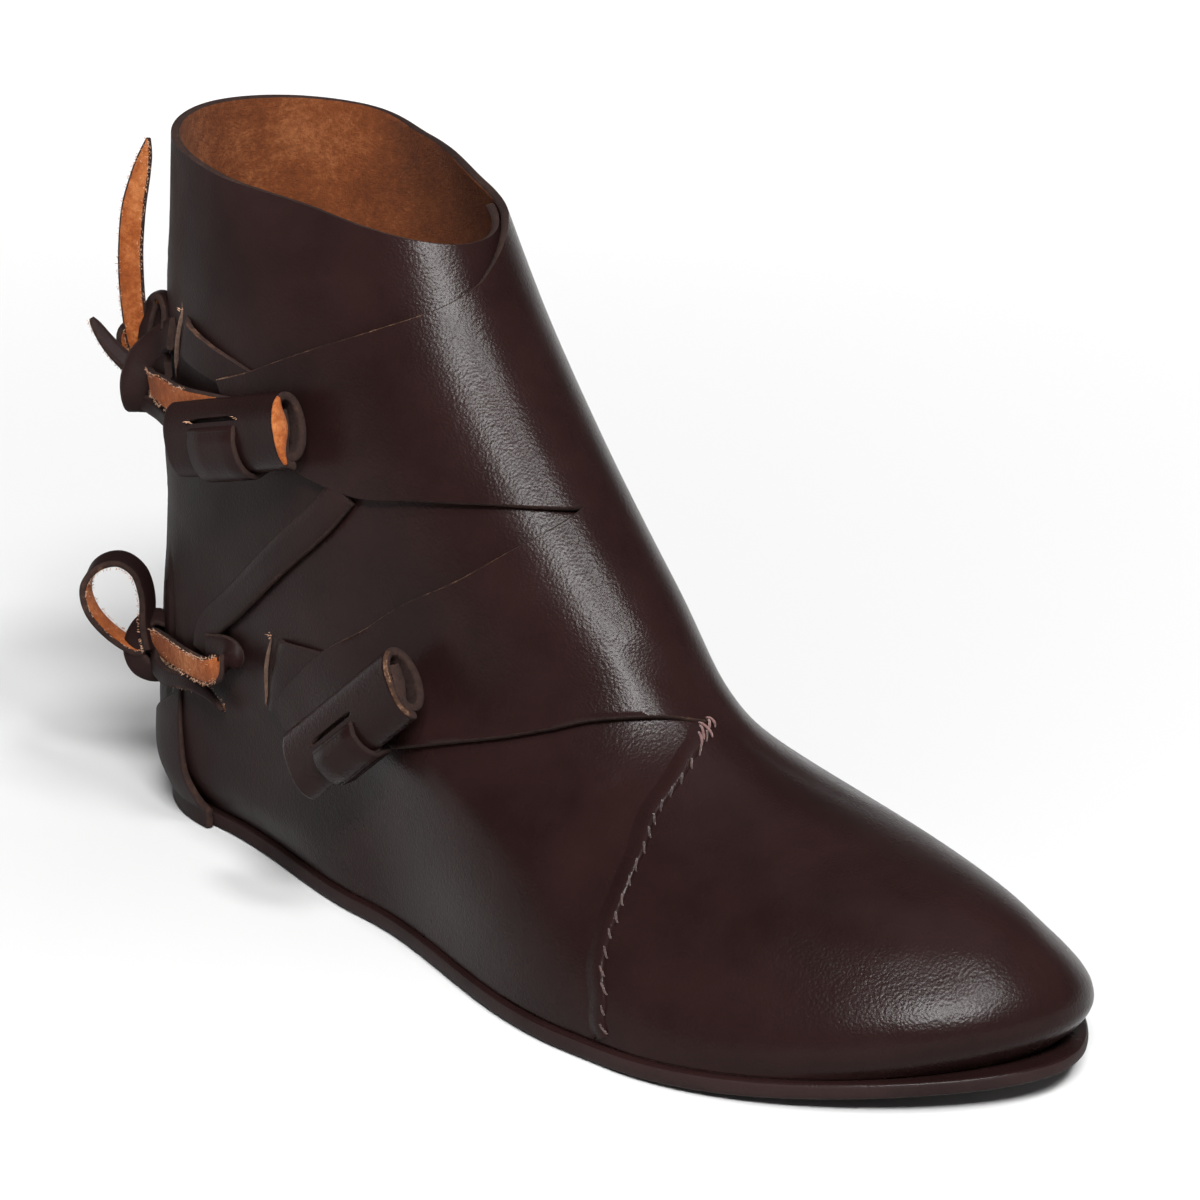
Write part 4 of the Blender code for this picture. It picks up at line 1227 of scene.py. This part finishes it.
def make_tab(name, place, middle, plane, slit_turn):
    """End of a rolled strip, laid round the roll and in at its slit."""
    section, spoke = roll_section(np.linspace(ROLL_TURNS, slit_turn + 0.055, TAB_STEPS))
    spoke = np.where((spoke * section).sum(axis=1, keepdims=True) < 0, -spoke, spoke)
    dip = 0.7 * smooth((spaced(TAB_STEPS) - 0.7) / 0.3)
    off = ROLL_LEATHER + 0.2 + TAB_LEATHER / 2 - dip
    path = middle + (section + spoke * off[:, None]) @ plane
    face = spoke @ plane
    width = 2 * place.slit_half - 1.0
    stations = [Station(*(path[0] - plane[1] * 4.0 + plane[0] * 1.2), width, *face[0])]
    stations += [Station(*p, width, *f) for p, f in zip(path, face)]
    for depth in (1.6, 3.2):
        inner = path[-1] - face[-1] * depth + plane[0] * 0.5
        stations.append(Station(*inner, width, *(plane[0] + face[-1] * 0.3)))
    make_ribbon(name + "_toggle_tab", stations, steps=2, thick=TAB_LEATHER)


def make_tufts(places):
    """Torn fibres at the ends of slits."""
    chance = np.random.default_rng(31)
    tufts = Tubes()
    for spot, out in places:
        for _ in range(TUFT_FIBRES):
            root = spot + chance.normal(0.0, 0.45, 3) - out * 0.2
            lean = unit(out * 0.8 + chance.normal(0.0, 0.6, 3)) * chance.uniform(0.4, 0.95)
            tufts.add(np.array([root, root + lean * 0.6, root + lean]), TUFT_RADII, 4)
    tufts.build("slit_tufts", FIBRE, "flesh_leather")


TUFT_FIBRES = 9
TUFT_RADII = (0.12, 0.09, 0.03)
tuft_places = make_toggle("ankle", TOGGLES["ankle"], True)
make_toggle("instep", TOGGLES["instep"], False)
for slit in SLITS:
    tuft_places.append((on_last(*slit.top, 0.6), last_normal(*slit.top)))
make_tufts(tuft_places)


# Floor and light
# The floor's glow: distance from, distance to, strength from, strength to
FLOOR_GLOW = (0.12, 1.3, 0.0, 0.75)
FLOOR_WHITE = (0.56, 0.56, 0.56, 1.0)
FLOOR_HALF = 6.0
FLOOR_GAP = 0.0004
WHITE = (1.0, 1.0, 1.0, 1.0)


def floor_material():
    """White paper with a painted glow, none near the shoe and growing away from it, so the far floor
    shows white.
    """
    made, tree, shader, place = new_material("pale_floor")
    reach = add_node(tree, "ShaderNodeVectorMath", place, operation="LENGTH").outputs["Value"]
    fill_node(
        tree, shader,
        Base_Color=FLOOR_WHITE,
        Roughness=0.9,
        Specular_IOR_Level=0.1,
        Emission_Color=WHITE,
        Emission_Strength=add_node(tree, MAP_RANGE, reach, *FLOOR_GLOW),
    )
    return made


def make_floor():
    mesh = bpy.data.meshes.new("floor")
    corners = [(x * FLOOR_HALF, y * FLOOR_HALF, 0) for x, y in ((-1, -1), (1, -1), (1, 1), (-1, 1))]
    mesh.from_pydata(corners, [], [[0, 1, 2, 3]])
    mesh.materials.append(floor_material())
    floor = new_object("floor", mesh)
    floor.location = (0.0, 0.0, -FLOOR_GAP)


Light = namedtuple("Light", "name direction distance width height power")
LIGHTS = named(Light, [
    ("key", (0.585, -0.41, 0.7), 2.4, 1.0, 0.45, 104.0),
    ("top", (0.05, 0.25, 0.96), 5.0, 3.6, 3.6, 24.0),
    ("strip", (0.59, -0.06, 0.8), 2.4, 0.4, 0.35, 30.0),
    ("fill", (-0.2, -0.9, 0.3), 1.8, 1.5, 1.5, 0.6),
])
AIM = (120.0, 0.0, 70.0)
# White at the horizon, dim overhead: height from, height to, strength from, strength to
SKY_FADE = (0.02, 0.2, 1.0, 0.08)


def make_lights():
    for light in LIGHTS:
        data = bpy.data.lights.new(light.name, "AREA")
        data.shape = "RECTANGLE"
        data.size = light.width
        data.size_y = light.height
        data.energy = light.power
        lamp = new_object(light.name, data)
        direction = unit(np.array(light.direction))
        lamp.location = (world(AIM) + direction * light.distance).tolist()
        yaw = math.atan2(direction[1], direction[0])
        lamp.rotation_euler = (math.acos(direction[2]), 0.0, yaw + math.pi / 2)


def make_sky():
    sky = bpy.data.worlds.new("studio")
    sky.use_nodes = True
    tree = sky.node_tree
    place = tree.nodes.new("ShaderNodeTexCoord").outputs["Generated"]
    height = add_node(tree, "ShaderNodeSeparateXYZ", place).outputs["Z"]
    fade = add_node(tree, MAP_RANGE, height, *SKY_FADE)
    fill_node(tree, tree.nodes["Background"], Color=WHITE, Strength=fade)
    bpy.context.scene.world = sky
    bpy.context.scene.view_settings.view_transform = "Standard"


make_floor()
make_lights()
make_sky()
